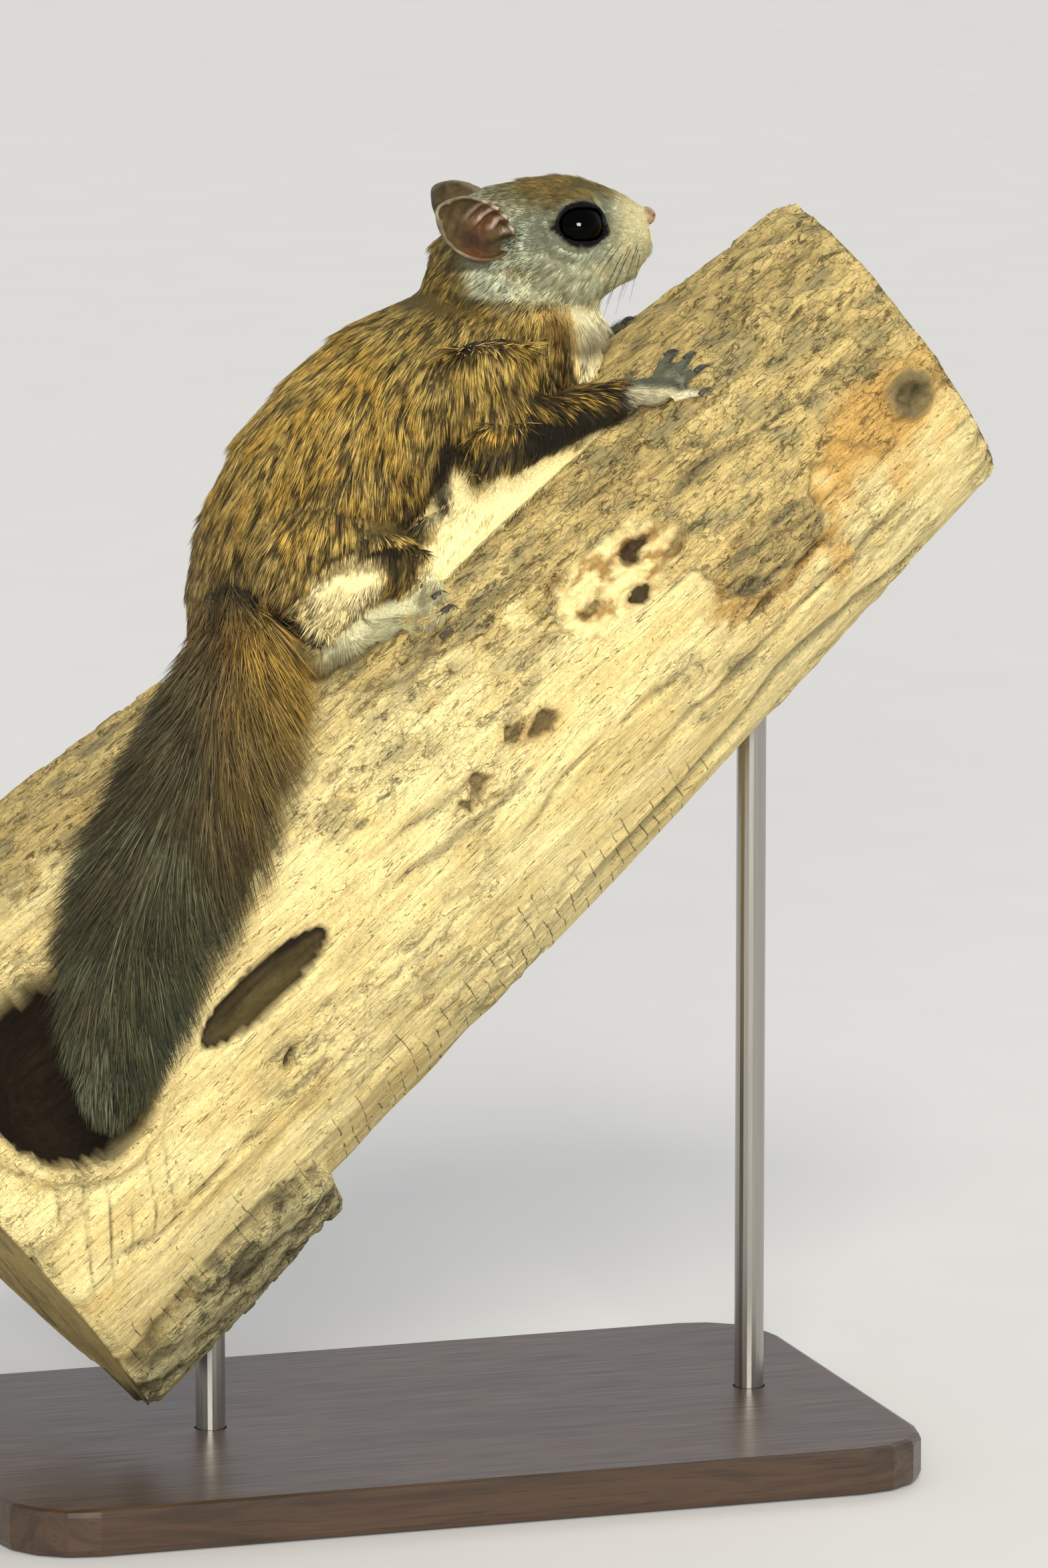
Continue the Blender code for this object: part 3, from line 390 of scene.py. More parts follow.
def tail_frame(share):
    """The tail's centre, its direction, its side and its upper face at each share of its length."""
    share = np.asarray(share, float)
    place = tail_place(share)
    here = on_bark(*place.T)
    ahead = on_bark(*tail_place(share + 0.01).T)
    behind = on_bark(*tail_place(np.maximum(share - 0.01, 0.0)).T)
    direction = unit(ahead - behind)
    out = unit(on_bark(place[:, 0], place[:, 1], 1.0) - on_bark(place[:, 0], place[:, 1], 0.0))
    out = unit(out - direction * np.sum(out * direction, axis=-1, keepdims=True))
    return here, direction, np.cross(direction, out), out


TAIL_SHARES = np.linspace(0.0, 1.0, 161)
TAIL_LINE = tail_frame(TAIL_SHARES)
TAIL_TREE = KDTree(len(TAIL_SHARES))
for index, centre in enumerate(TAIL_LINE[0]):
    TAIL_TREE.insert(Vector(centre), index)
TAIL_TREE.balance()
TAIL_LENGTH = float(np.linalg.norm(np.diff(TAIL_LINE[0], axis=0), axis=-1).sum())


def brush_width(share):
    return np.interp(share, *zip(*BRUSH_WIDTHS))


def on_tail(points):
    """The nearest index on the tail's line, with the offset to its side and over it."""
    nearest = np.array([TAIL_TREE.find(Vector(point))[1] for point in points])
    offset = points - TAIL_LINE[0][nearest]
    side = np.sum(offset * TAIL_LINE[2][nearest], axis=-1)
    over = np.sum(offset * TAIL_LINE[3][nearest], axis=-1)
    return nearest, side, over


# The skin

LIMBS = ("upper_arm", "forearm", "thigh", "shank", "membrane")
FLESH = ["head", "neck", "torso"] + [f"{part}_{letter}" for part in LIMBS for letter in "rl"]
PAWS = [f"{part}_{letter}" for part in ("hand", "foot") for letter in "rl"]
TAIL_NODES = ["tail_root", "tail_middle", "tail_tip"]


def node_copy(name):
    """A copy of a solid of flesh, merged and grown a little, so that its neighbours run into it."""
    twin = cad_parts[name].copy()
    twin.data = twin.data.copy()
    twin.parent = None
    for key in list(twin.keys()):
        del twin[key]
    twin.name = "flesh_" + name
    bpy.context.scene.collection.objects.link(twin)
    with all_edited(twin):
        bpy.ops.mesh.remove_doubles(threshold=0.01 * MM)
    twin.data.materials.clear()
    return applied(twin, "DISPLACE", strength=NODE_GROW * MM, mid_level=0.0)


def tail_core():
    """The tail under its hair, thinner towards the tip."""
    shares = np.linspace(0.0, 1.0, 40)
    centres, _, sides, outs = tail_frame(shares)
    taper = 1.0 - 0.6 * np.maximum(0.0, shares - 0.75) / 0.25
    half_width = TAIL_CORE_WIDTH * 0.85 * taper
    half_height = TAIL_CORE_DEPTH * 0.85 * taper
    return capped_tube("tail_core", tube_rings(centres, sides, outs, half_width, half_height, 20))


def limb_share(points, start, end):
    """How far along a limb each point is, from 0 to 1, and its distance from the limb's line."""
    line = np.asarray(end) - np.asarray(start)
    share = np.clip((points - start) @ line / (line @ line), 0.0, 1.0)
    return share, np.linalg.norm(points - (np.asarray(start) + share[:, None] * line), axis=-1)


def mirrored_perch(points):
    """Points in the perch's frame with their distance across made positive, as on both sides alike."""
    perch = in_perch(points)
    perch[:, 1] = np.abs(perch[:, 1])
    return perch


WRIST = in_perch(on_bark(*WRIST_PLACE)) * (1.0, -1.0, 1.0)


def paw_share(points):
    """1 on hands and feet, falling to 0 up the limb."""
    perch = mirrored_perch(points)
    height, turn = bark_height(perch)
    turn = np.abs(turn)
    hand = step(25.0, 33.0, perch[:, 0]) * (height < 9.0) * (turn > 22.0)
    top = 8.0 - 3.0 * step(-44.0, -36.0, perch[:, 0])
    foot = (perch[:, 0] < -27.0) * (perch[:, 0] > -63.0) * step(top, top - 2.5, height) * (turn > 29.0)
    return np.maximum(hand, foot)


def coat_depth(points):
    """How far the skin lies inside the furred outline."""
    head = in_head(points)
    perch = mirrored_perch(points)
    on_head = step(-24.0, -16.0, head[:, 0] + 0.35 * head[:, 2])
    on_head = on_head * step(-20.0, -14.0, head[:, 2] + 0.3 * head[:, 0])
    face = 1.1 - 0.85 * step(-6.0, 19.0, head[:, 0])
    body = 2.1 - 0.5 * step(-45.0, -62.0, perch[:, 0])
    depth = body * (1.0 - on_head) + face * on_head
    share, distance = limb_share(perch, ELBOW, WRIST)
    arm = step(9.0, 6.0, distance) * (1.0 - on_head)
    depth = depth * (1.0 - arm) + (1.2 - 0.6 * share) * arm
    for side in SIDES.values():
        eye = np.linalg.norm(points - eye_centre(side), axis=-1)
        depth *= step(EYE_RADIUS + 0.6, EYE_RADIUS + 4.5, eye)
    return NODE_GROW + np.where(on_tail_core(points), 0.0, depth * (1.0 - 0.85 * paw_share(points)))


def on_tail_core(points):
    perch = in_perch(points)
    nearest, side, over = on_tail(points)
    return (nearest > 12) & (np.hypot(side / 10.0, over / 7.0) < 1.0) & (perch[:, 0] < -58.0)


def eye_frame(side):
    """Out of the eye, forward along the lids and up, for that side."""
    cos_turn, sin_turn = cos_sin(EYE_TURN)
    cos_lift, sin_lift = cos_sin(EYE_LIFT)
    forward, left, up = HEAD_AXES
    out = unit((left * side * cos_turn + forward * sin_turn) * cos_lift + up * sin_lift)
    ahead = unit(forward - out * (forward @ out))
    return out, ahead, unit(up - out * (up @ out) - ahead * (up @ ahead))


def eye_centre(side):
    forward, left, up = EYE_CENTRE
    return head_point(forward, side * left, up)


def round_eye(points, side):
    """How far each point is from the eye's centre, its angle from the eye's axis and the way round it."""
    out, ahead, above = eye_frame(side)
    offset = points - eye_centre(side)
    way = unit(offset)
    angle = np.degrees(np.arccos(np.clip(way @ out, -1.0, 1.0)))
    return np.linalg.norm(offset, axis=-1), angle, unit(np.stack((way @ ahead, way @ above), axis=-1))


def ear_width(share):
    """The half width of the ear's leaf, from its root to its tip."""
    return EAR_HALF_WIDTH * np.sqrt(np.clip(1.0 - ((share - 0.47) / 0.56) ** 2, 0.03, 1.0))


def ear_bowl(share):
    """How deep the cup is at each share of the ear's length."""
    return EAR_DEPTH * (1.0 - ((share - 0.35) / 0.78) ** 2)


def ear_bend(share):
    """How far the tip leans out towards the mouth of the cup."""
    return 2.2 * share**2


def sunk_behind_ears(points):
    """Points of the skin, drawn in where a cup of the ear lies over them."""
    for side in SIDES.values():
        base, axis, mouth, across = ear_frame(side)
        offset = points - base
        along, over, out = offset @ axis, offset @ across, offset @ mouth
        share = np.clip(along / EAR_LENGTH, 0.0, 1.0)
        round_share = np.clip(over / ear_width(share), -1.0, 1.0)
        floor = ear_bend(share) - ear_bowl(share) * np.sqrt(1.0 - round_share**2) - 1.1
        gap = np.hypot((along - 7.0) / 10.0, over / 6.9)
        weight = step(1.2, 0.96, gap) * (out > -9.0)
        points = points + mouth * ((np.minimum(out, floor) - out) * weight)[:, None]
    return points


def lids_closed(points):
    """Points of the lids, turned a little over the eyeball from above and below."""
    for side in SIDES.values():
        out, ahead, above = eye_frame(side)
        far, angle, round_way = round_eye(points, side)
        share = step(EYE_RADIUS + 2.8, EYE_RADIUS + 0.8, far)
        share = share * step(EYE_RADIUS - 1.0, EYE_RADIUS - 0.3, far)
        share *= step(92.0, 70.0, angle) * step(8.0, 30.0, angle)
        turned_in = np.radians(angle - share * (2.0 + 12.0 * round_way[:, 1] ** 2))
        flat = ahead * round_way[:, :1] + above * round_way[:, 1:]
        moved = out * np.cos(turned_in)[:, None] + flat * np.sin(turned_in)[:, None]
        moved = moved * np.maximum(far, EYE_RADIUS + 0.35 * share)[:, None]
        points = np.where((share > 0.0)[:, None], eye_centre(side) + moved, points)
    return points


def build_skin():
    """The whole body in one closed skin, lying inside the furred outline by the coat's depth."""
    parts = [node_copy(name) for name in FLESH + PAWS] + [tail_core()]
    skin = joined(parts, "skin")
    applied(skin, "REMESH", mode="VOXEL", voxel_size=SKIN_VOXEL * MM)
    keep_largest(skin)
    applied(skin, "SMOOTH", factor=0.5, iterations=2)
    points = points_of(skin)
    points = points - normals_of(skin) * coat_depth(points)[:, None]
    place_points(skin, sunk_behind_ears(points))
    applied(skin, "SMOOTH", factor=0.5, iterations=2)
    place_points(skin, lids_closed(points_of(skin)))
    count = sum(len(polygon.vertices) - 2 for polygon in skin.data.polygons)
    applied(skin, "DECIMATE", ratio=min(1.0, SKIN_TRIANGLES / count))
    applied(skin, "TRIANGULATE")
    skin.data.shade_smooth()
    skin.data.uv_layers.new(name="OFBake")
    with all_edited(skin):
        bpy.ops.uv.smart_project(angle_limit=math.radians(66.0), island_margin=0.002)
    return skin


# The markings, shared by the skin and the coat

GOLD = np.array((0.95, 0.595, 0.112))
PALE_GOLD = np.array((1.0, 0.74, 0.23))
OLIVE = np.array((0.26, 0.195, 0.055))
UMBER = np.array((0.030, 0.022, 0.010))
CREAM = np.array((0.98, 0.82, 0.40))
OCHRE = np.array((0.58, 0.33, 0.075))
FROST = np.array((0.78, 0.83, 0.58))
SLATE = np.array((0.098, 0.102, 0.064))
ASH = np.array((0.24, 0.26, 0.18))
RUST = np.array((0.34, 0.19, 0.045))
SOOT = np.array((0.005, 0.005, 0.005))
GREY_BROWN = np.array((0.20, 0.155, 0.075))

# Creases painted dark as shade, where the coat also parts and shows its dark root: half a width, then places
# in the perch's frame
SHADED_CREASES = (
    (0.9, (7.8, 14.9, 76.6), (3.7, 20.0, 73.4), (0.0, 23.2, 69.7), (-3.6, 24.9, 65.7)),
    (1.9, (-4.6, 25.2, 64.5), (-6.1, 25.6, 61.5)),
    (0.8, (-3.1, 25.4, 62.6), (-3.4, 26.9, 58.4), (-3.4, 30.9, 55.0)),
    (1.0, (-27.6, 26.4, 64.2), (-23.1, 26.5, 62.9), (-19.3, 26.5, 60.6), (-15.0, 26.3, 60.0)),
    (1.0, (-24.8, 19.6, 76.0), (-20.4, 21.0, 75.0), (-15.9, 22.0, 74.2)),
    (1.1, (-36.0, 23.3, 69.7), (-29.7, 24.3, 69.9)),
    (0.9, (-6.2, 18.2, 77.2), (-0.6, 17.8, 76.9)),
    (1.5, (-47.8, 30.6, 56.2), (-40.8, 30.9, 55.6), (-35.7, 33.9, 52.4), (-29.7, 32.9, 46.5),
     (-23.5, 27.3, 45.0)),
    (2.7, (-8.1, 25.1, 54.7), (-11.9, 23.9, 50.3), (-15.0, 23.9, 47.4)),
    (2.6, (6.8, 34.0, 47.6), (11.2, 32.8, 43.6), (17.2, 30.1, 38.8), (25.1, 26.7, 35.4)),
)

# The height over the bark, at places along the perch, under which the flank is pale
PALE_FLANK = (
    (-60.0, 3.0), (-34.0, 3.0), (-29.0, 5.0), (-20.0, 7.2),
    (-14.0, 9.5), (-6.0, 13.0), (4.0, 10.0), (30.0, 11.0),
)


def crease_shade(points):
    """How much each point lies in a crease painted dark as shade, where the coat also parts, from 0 to 1."""
    perch = mirrored_perch(points)
    ragged = 0.75 + 0.5 * noise(points / 1.7, 9)
    deepest = np.zeros(len(points))
    for half_width, *line in SHADED_CREASES:
        for start, end in zip(line, line[1:]):
            distance = limb_share(perch, start, end)[1] * ragged
            deepest = np.maximum(deepest, step(half_width * 1.45, half_width * 0.7, distance))
    return deepest


def markings(points):
    """The colours of the hair's base and of its tip at points of the skin."""
    head = in_head(points)
    perch = mirrored_perch(points)
    along, across, out = perch.T
    height, turn = bark_height(perch)
    turn = np.abs(turn)
    forward, left, up = head.T
    left = np.abs(left)
    patchy = layered(points / 6.0, 3)

    tip = np.tile(GOLD, (len(points), 1))
    tip = mixed(tip, PALE_GOLD, step(0.36, 0.64, patchy) * 0.65)
    base = np.tile(UMBER, (len(points), 1))
    rump = step(-44.0, -64.0, along)
    tip = mixed(tip, GREY_BROWN * 2.2, rump * 0.7)

    nape = step(-14.0, 8.0, along + 0.2 * (out - 70.0)) * step(68.0, 76.0, out)
    tip = mixed(tip, OLIVE * 1.7, nape * 0.6)

    pale_below = np.interp(along, *zip(*PALE_FLANK))
    pale = step(pale_below + 1.2, pale_below - 1.2, height + 1.6 * (patchy - 0.5)) * step(18.0, 22.0, turn)
    pale = np.maximum(pale, step(4.0, 1.5, height))
    tip = mixed(tip, CREAM, pale)
    base = mixed(base, CREAM * 0.92, pale)
    # painted shadow of the fold above the pale membrane, over hair that is dark at the base
    fold_shade = bump(height - pale_below, 2.6, 3.0) * step(20.0, 24.0, turn)
    fold_shade = fold_shade * step(10.0, 2.0, along) * step(-36.0, -28.0, along)
    tip = mixed(tip, UMBER * 1.5, fold_shade * 0.85)

    share, distance = limb_share(perch, ELBOW, WRIST)
    arm_line = np.array(ELBOW) + share[:, None] * (WRIST - np.array(ELBOW))
    above = out - arm_line[:, 2]
    forearm = step(9.5, 7.0, distance) * step(-0.02, 0.1, share) * step(-7.0, -4.0, above)
    streak = step(0.4, 0.7, noise(np.stack((along * 1.9, across * 0.8, out * 0.3), axis=-1), 8))
    # gold streaks on top; below the arm's line, dark fringe hair darkened further as painted shade on the
    # underside
    arm_tip_shaded_below = mixed(UMBER * 1.4, GOLD * 1.05, streak * step(-3.0, 3.5, above + 1.2 * (patchy - 0.5)))
    tip = mixed(tip, arm_tip_shaded_below, forearm)
    base = mixed(base, UMBER * 0.7, forearm)

    throat = step(6.5, 4.0, left) * step(1.0, 4.0, forward)
    front = np.maximum(step(1.6, 4.6, forward + 0.1 * (up + 20.0)), throat)
    front *= step(-11.0, -13.5, up) * (1.0 - forearm)
    band = bump(forward + 0.1 * (up + 20.0), -0.6, 4.2) * step(-13.0, -15.0, up) * step(7.0, 10.0, left)
    tip = mixed(tip, CREAM * (1.02, 1.12, 1.45), front * (height > 2.0))
    ashy = front * step(-20.0, -15.0, up) * step(0.4, 0.7, noise(points / 1.1, 18)) * 0.6
    tip = mixed(tip, ASH * 1.4, ashy)
    base = mixed(base, CREAM * 0.85, front)
    tip = mixed(tip, OCHRE, band * (1.0 - forearm) * 0.85)

    shank_gap = np.sqrt(((along + 45.5) / 9.5) ** 2 + ((out - 48.5) / 5.8) ** 2)
    shank = step(1.25, 0.85, shank_gap) * step(24.0, 27.5, across)
    tip = mixed(tip, CREAM * (0.96, 1.0, 1.1), shank)
    base = mixed(base, CREAM * 0.9, shank)
    shade_gap = np.sqrt(((along + 45.0) / 9.5) ** 2 + ((out - 47.5) / 6.5) ** 2)
    shade = bump(shade_gap, 1.28, 0.32) * step(-43.0, -38.0, along)
    tip = mixed(tip, UMBER * 1.4, shade * step(24.0, 27.5, across) * 0.85)
    # painted shadow in the line between the shank's pale patch and the foot
    shadow_over_foot = bump(height, 9.2, 2.4) * step(-61.0, -57.0, along)
    shadow_over_foot = shadow_over_foot * step(-36.0, -40.0, along) * step(25.0, 28.0, across)
    tip = mixed(tip, UMBER * 2.0, shadow_over_foot * 0.9)
    # painted shade in the creases, over the dark root where the coat parts
    shaded_crease = crease_shade(points)
    tip = mixed(tip, UMBER * 1.1, shaded_crease * 0.92)
    base = mixed(base, UMBER * 0.6, shaded_crease)

    cheek_line = up + 0.22 * np.minimum(forward, 8.0) + 1.2 * (patchy - 0.5)
    on_head = step(-22.5, -18.5, forward + 0.25 * up) * step(-15.6, -13.6, cheek_line)
    speckled = 0.5 * step(0.45, 0.75, patchy) + 0.45 * step(0.5, 0.72, noise(points / 1.1, 12))
    face = mixed(np.tile(FROST, (len(points), 1)), ASH, speckled * 0.8)
    crown = step(5.0, 9.5, up + 0.12 * np.minimum(forward, 0.0) + 0.25 * (left - 6.0) * (forward < 2.0))
    crown = np.maximum(crown, step(-12.0, -19.0, forward) * step(-6.0, 0.0, up))
    crown_colour = mixed(np.tile(OLIVE, (len(points), 1)), GOLD, step(0.3, 0.7, patchy) * 0.55)
    face = mixed(face, crown_colour, crown)
    muzzle = step(11.0, 16.5, forward - 0.25 * up)
    face = mixed(face, CREAM * (0.93, 1.07, 1.4), muzzle * (0.35 + 0.4 * noise(points / 1.4, 15)))
    face = mixed(face, GREY_BROWN * 1.7, muzzle * step(0.52, 0.75, noise(points / 0.9, 17)) * 0.5)
    jaw = step(-1.5, -7.0, up + 0.1 * forward) * step(-17.0, -5.0, forward)
    face = mixed(face, CREAM * (0.94, 1.13, 1.55), jaw * (0.6 + 0.3 * noise(points / 1.7, 16)))
    face = mixed(face, ASH * 1.1, jaw * step(0.48, 0.7, noise(points / 0.9, 19)) * 0.6)
    temple = bump(forward, -3.5, 6.5) * bump(up, 1.0, 7.5)
    face = mixed(face, ASH * 1.3, temple * 0.55)
    below_ear = bump(forward, -7.5, 7.5) * bump(up, -7.0, 5.0)
    tear = bump(forward, 14.0, 2.2) * bump(up, 0.3, 3.6) * step(4.0, 6.0, left)
    face = mixed(face, SLATE * 1.5, tear * 0.7)
    face = mixed(face, SLATE * 1.3, below_ear * step(0.42, 0.6, noise(points / 1.2, 4)) * 0.9)
    face_base = mixed(SLATE * 0.9, CREAM * 0.6, np.maximum(muzzle, jaw) * 0.75)
    tip = mixed(tip, face, on_head)
    base = mixed(base, face_base, on_head)
    for side in SIDES.values():
        out_of_eye, ahead, above_eye = eye_frame(side)
        offset = points - eye_centre(side)
        place = np.stack((offset @ ahead, offset @ above_eye), axis=-1)
        x, y = place.T
        corner = 0.22 * step(2.0, 6.0, x) * step(2.6, 0.0, np.abs(y + 0.3 * x))
        corner += 0.18 * step(-2.0, -5.5, x) * step(2.2, 0.0, np.abs(y - 0.1 * x))
        oval = np.hypot(x / 5.7, y / 4.75)
        ring = step(1.10, 1.0, oval - corner) * (offset @ out_of_eye > 0.0)
        tip = mixed(tip, SOOT * 1.4, ring)
        base = mixed(base, SOOT, ring)
    cheek_edge = bump(cheek_line, -15.2, 1.5) * step(-24.0, -20.0, forward) * step(3.0, -2.0, forward)
    tip = mixed(tip, UMBER * 1.3, cheek_edge * 0.8)

    paw = paw_share(points)
    hand = paw * (along > 0.0)
    foot = paw * (along < 0.0)
    tip = mixed(tip, mixed(SLATE * 1.6, ASH, 0.3), hand)
    base = mixed(base, SLATE * 0.8, hand)
    edge = hand * step(38.0, 41.0, turn - 0.9 * (along - 36.0))
    tip = mixed(tip, CREAM * (1.0, 1.08, 1.4), edge)
    tip = mixed(tip, mixed(ASH * 1.9, CREAM, 0.4), foot)
    base = mixed(base, ASH * 1.3, foot)

    nearest, side, over = on_tail(points)
    share = TAIL_SHARES[nearest]
    tail = step(0.0, 0.20, share) * (np.hypot(side / 24.0, over / 14.0) < 1.0) * step(-56.0, -61.0, along)
    lock = noise(np.stack((share * 26.0, side / 3.2, over / 3.2), axis=-1), 14)
    tail_tip = mixed(np.tile(RUST, (len(points), 1)), GREY_BROWN, step(0.2, 0.5, share))
    tail_tip = mixed(tail_tip, SLATE * (1.65, 1.6, 1.1), step(0.5, 0.85, share))
    olive = step(-2.0, 6.0, side) * step(0.08, 0.3, share) * 0.75
    tail_tip = mixed(tail_tip, mixed(SLATE * 1.9, OLIVE, 0.35), olive)
    tail_tip = mixed(tail_tip, GOLD * 0.9, step(-1.0, -7.0, side) * step(0.66, 0.3, share) * 0.65)
    # pale grey-green streaks on some locks: a painted sheen
    tail_tip = mixed(tail_tip, ASH * (1.45, 1.5, 1.2), step(0.55, 0.8, lock) * step(0.25, 0.6, share) * 0.6)
    tail_tip = mixed(tail_tip, GREY_BROWN * 1.4, step(0.5, 0.25, lock) * step(1.05, 0.6, share) * 0.6)
    tail_base = mixed(np.tile(UMBER, (len(points), 1)), SLATE * 0.3, step(0.3, 0.8, share))
    tip = mixed(tip, tail_tip, tail)
    base = mixed(base, tail_base, tail)
    return base, tip


# The lie of the coat: a place, the way the hair points there, its length and how far it rises from the skin


def perch_guides():
    return (
        ((22.0, 0.0, 82.0), (-1.0, 0.0, 0.15), 6.0, 10.0),
        ((0.0, 0.0, 84.0), (-1.0, 0.0, 0.0), 8.0, 11.0),
        ((-22.0, 0.0, 83.0), (-1.0, 0.0, -0.1), 8.5, 11.0),
        ((-44.0, 0.0, 75.0), (-1.0, 0.0, -0.3), 8.0, 11.0),
        ((-62.0, 0.0, 62.0), (-0.9, 0.0, -0.6), 8.0, 12.0),
        ((20.0, 15.0, 74.0), (-0.95, 0.3, -0.1), 6.5, 10.0),
        ((0.0, 18.0, 77.0), (-0.93, 0.25, -0.3), 9.5, 14.0),
        ((-22.0, 19.0, 76.0), (-0.93, 0.25, -0.35), 9.5, 14.0),
        ((-44.0, 17.0, 68.0), (-0.93, 0.15, -0.4), 9.0, 14.0),
        ((-60.0, 14.0, 60.0), (-0.9, 0.2, -0.5), 9.0, 16.0),
        ((-10.0, 26.0, 62.0), (-0.75, 0.1, -0.65), 9.5, 15.0),
        ((-26.0, 27.0, 62.0), (-0.8, 0.1, -0.6), 9.5, 15.0),
        ((-14.0, 26.0, 54.0), (-0.55, 0.15, -0.85), 7.5, 13.0),
        ((-24.0, 29.0, 50.0), (-0.5, 0.1, -0.87), 7.5, 12.0),
        ((-42.0, 30.0, 58.0), (-0.75, 0.2, -0.65), 8.5, 15.0),
        ((-36.0, 32.0, 48.0), (-0.75, 0.1, -0.6), 5.5, 11.0),
        ((-50.0, 31.0, 50.0), (-0.9, 0.2, -0.35), 7.0, 20.0),
        ((-54.0, 26.0, 56.0), (-0.88, 0.25, -0.4), 8.5, 18.0),
        ((28.0, 17.0, 62.0), (-0.7, 0.45, -0.45), 7.5, 16.0),
        ((22.0, 22.0, 62.0), (-0.45, 0.35, -0.8), 8.0, 15.0),
        ((12.0, 28.0, 60.0), (-0.45, 0.3, -0.85), 8.5, 14.0),
        ((4.0, 33.0, 54.0), (-0.75, 0.2, -0.65), 7.0, 13.0),
        ((-2.0, 31.0, 50.0), (-0.85, 0.1, -0.6), 6.0, 12.0),
        ((14.0, 31.0, 50.0), (-0.1, 0.1, -0.95), 7.5, 18.0),
        ((22.0, 30.0, 45.0), (0.15, 0.1, -0.95), 6.5, 18.0),
        ((28.0, 28.0, 41.0), (0.4, 0.1, -0.9), 4.0, 16.0),
        ((30.0, 8.0, 46.0), (-0.5, 0.0, -0.85), 8.0, 16.0),
        ((34.0, 12.0, 50.0), (-0.5, 0.25, -0.85), 8.0, 18.0),
        ((10.0, 29.0, 41.0), (-0.85, 0.2, -0.45), 4.5, 9.0),
        ((-6.0, 29.0, 42.0), (-0.85, 0.2, -0.45), 5.5, 9.0),
        ((-18.0, 29.0, 40.0), (-0.85, 0.2, -0.45), 6.0, 9.0),
        ((-30.0, 31.0, 38.0), (-0.85, 0.2, -0.4), 5.0, 9.0),
        ((38.0, 27.0, 36.0), (1.0, 0.0, -0.2), 2.2, 12.0),
        ((-44.0, 33.0, 36.0), (0.95, 0.2, -0.1), 2.8, 14.0),
        ((-57.0, 31.0, 38.0), (-0.7, 0.2, -0.7), 4.0, 16.0),
    )


def head_guides():
    return (
        ((20.5, 0.0, 6.5), (-0.9, 0.0, 0.5), 1.3, 12.0),
        ((15.0, 0.0, 9.6), (-0.95, 0.0, 0.3), 2.2, 11.0),
        ((6.0, 0.0, 12.5), (-1.0, 0.0, 0.1), 3.6, 11.0),
        ((-6.0, 0.0, 13.0), (-1.0, 0.0, -0.1), 3.8, 9.0),
        ((-16.0, 0.0, 10.0), (-0.9, 0.0, -0.5), 4.5, 9.0),
        ((-22.0, 0.0, 3.0), (-0.7, 0.0, -0.8), 4.8, 8.0),
        ((18.0, 6.0, 0.0), (-0.9, 0.3, -0.25), 1.8, 13.0),
        ((13.5, 7.0, 5.5), (-0.8, 0.3, 0.5), 2.2, 11.0),
        ((7.0, 8.5, 9.5), (-0.95, 0.1, 0.15), 3.0, 12.0),
        ((-2.0, 11.5, 8.5), (-1.0, 0.15, 0.0), 2.8, 11.0),
        ((13.0, 8.5, -4.0), (-0.9, 0.3, -0.45), 2.6, 13.0),
        ((4.0, 13.0, -7.0), (-0.85, 0.2, -0.5), 2.9, 17.0),
        ((-2.5, 14.5, -1.0), (-1.0, 0.1, -0.15), 2.4, 11.0),
        ((-8.0, 14.0, -8.0), (-0.85, 0.2, -0.5), 2.9, 38.0),
        ((-16.0, 12.0, -8.0), (-0.75, 0.2, -0.65), 3.0, 11.0),
        ((-12.0, 17.0, -14.0), (-0.75, 0.2, -0.65), 3.6, 12.0),
        ((16.0, 4.0, -9.5), (-0.9, 0.2, -0.45), 1.9, 11.0),
        ((7.0, 6.0, -15.0), (-0.8, 0.2, -0.6), 3.0, 11.0),
        ((-3.0, 8.0, -17.0), (-0.6, 0.3, -0.8), 3.4, 11.0),
        ((-4.0, 12.0, -14.5), (-0.75, 0.3, -0.6), 4.0, 42.0),
        ((-5.0, 14.0, -10.5), (-0.8, 0.25, -0.5), 3.2, 44.0),
        ((8.0, 0.0, -18.0), (-0.5, 0.0, -0.9), 3.4, 11.0),
    )


def guide_table():
    """Every guide on both sides, as places, ways, lengths, lifts and reaches."""
    rows = []
    for guides, to_world, axes, reach in (
        (perch_guides(), perch_point, PERCH_AXES, 7.5),
        (head_guides(), head_point, HEAD_AXES, 5.0),
    ):
        for place, way, length, lift in guides:
            for side in (1.0, -1.0) if place[1] else (1.0,):
                centre = to_world(place[0], side * place[1], place[2])
                heading = unit(np.array((way[0], side * way[1], way[2]))) @ axes
                rows.append((*centre, *heading, length, lift, reach))
    return np.array(rows)


GUIDES = guide_table()


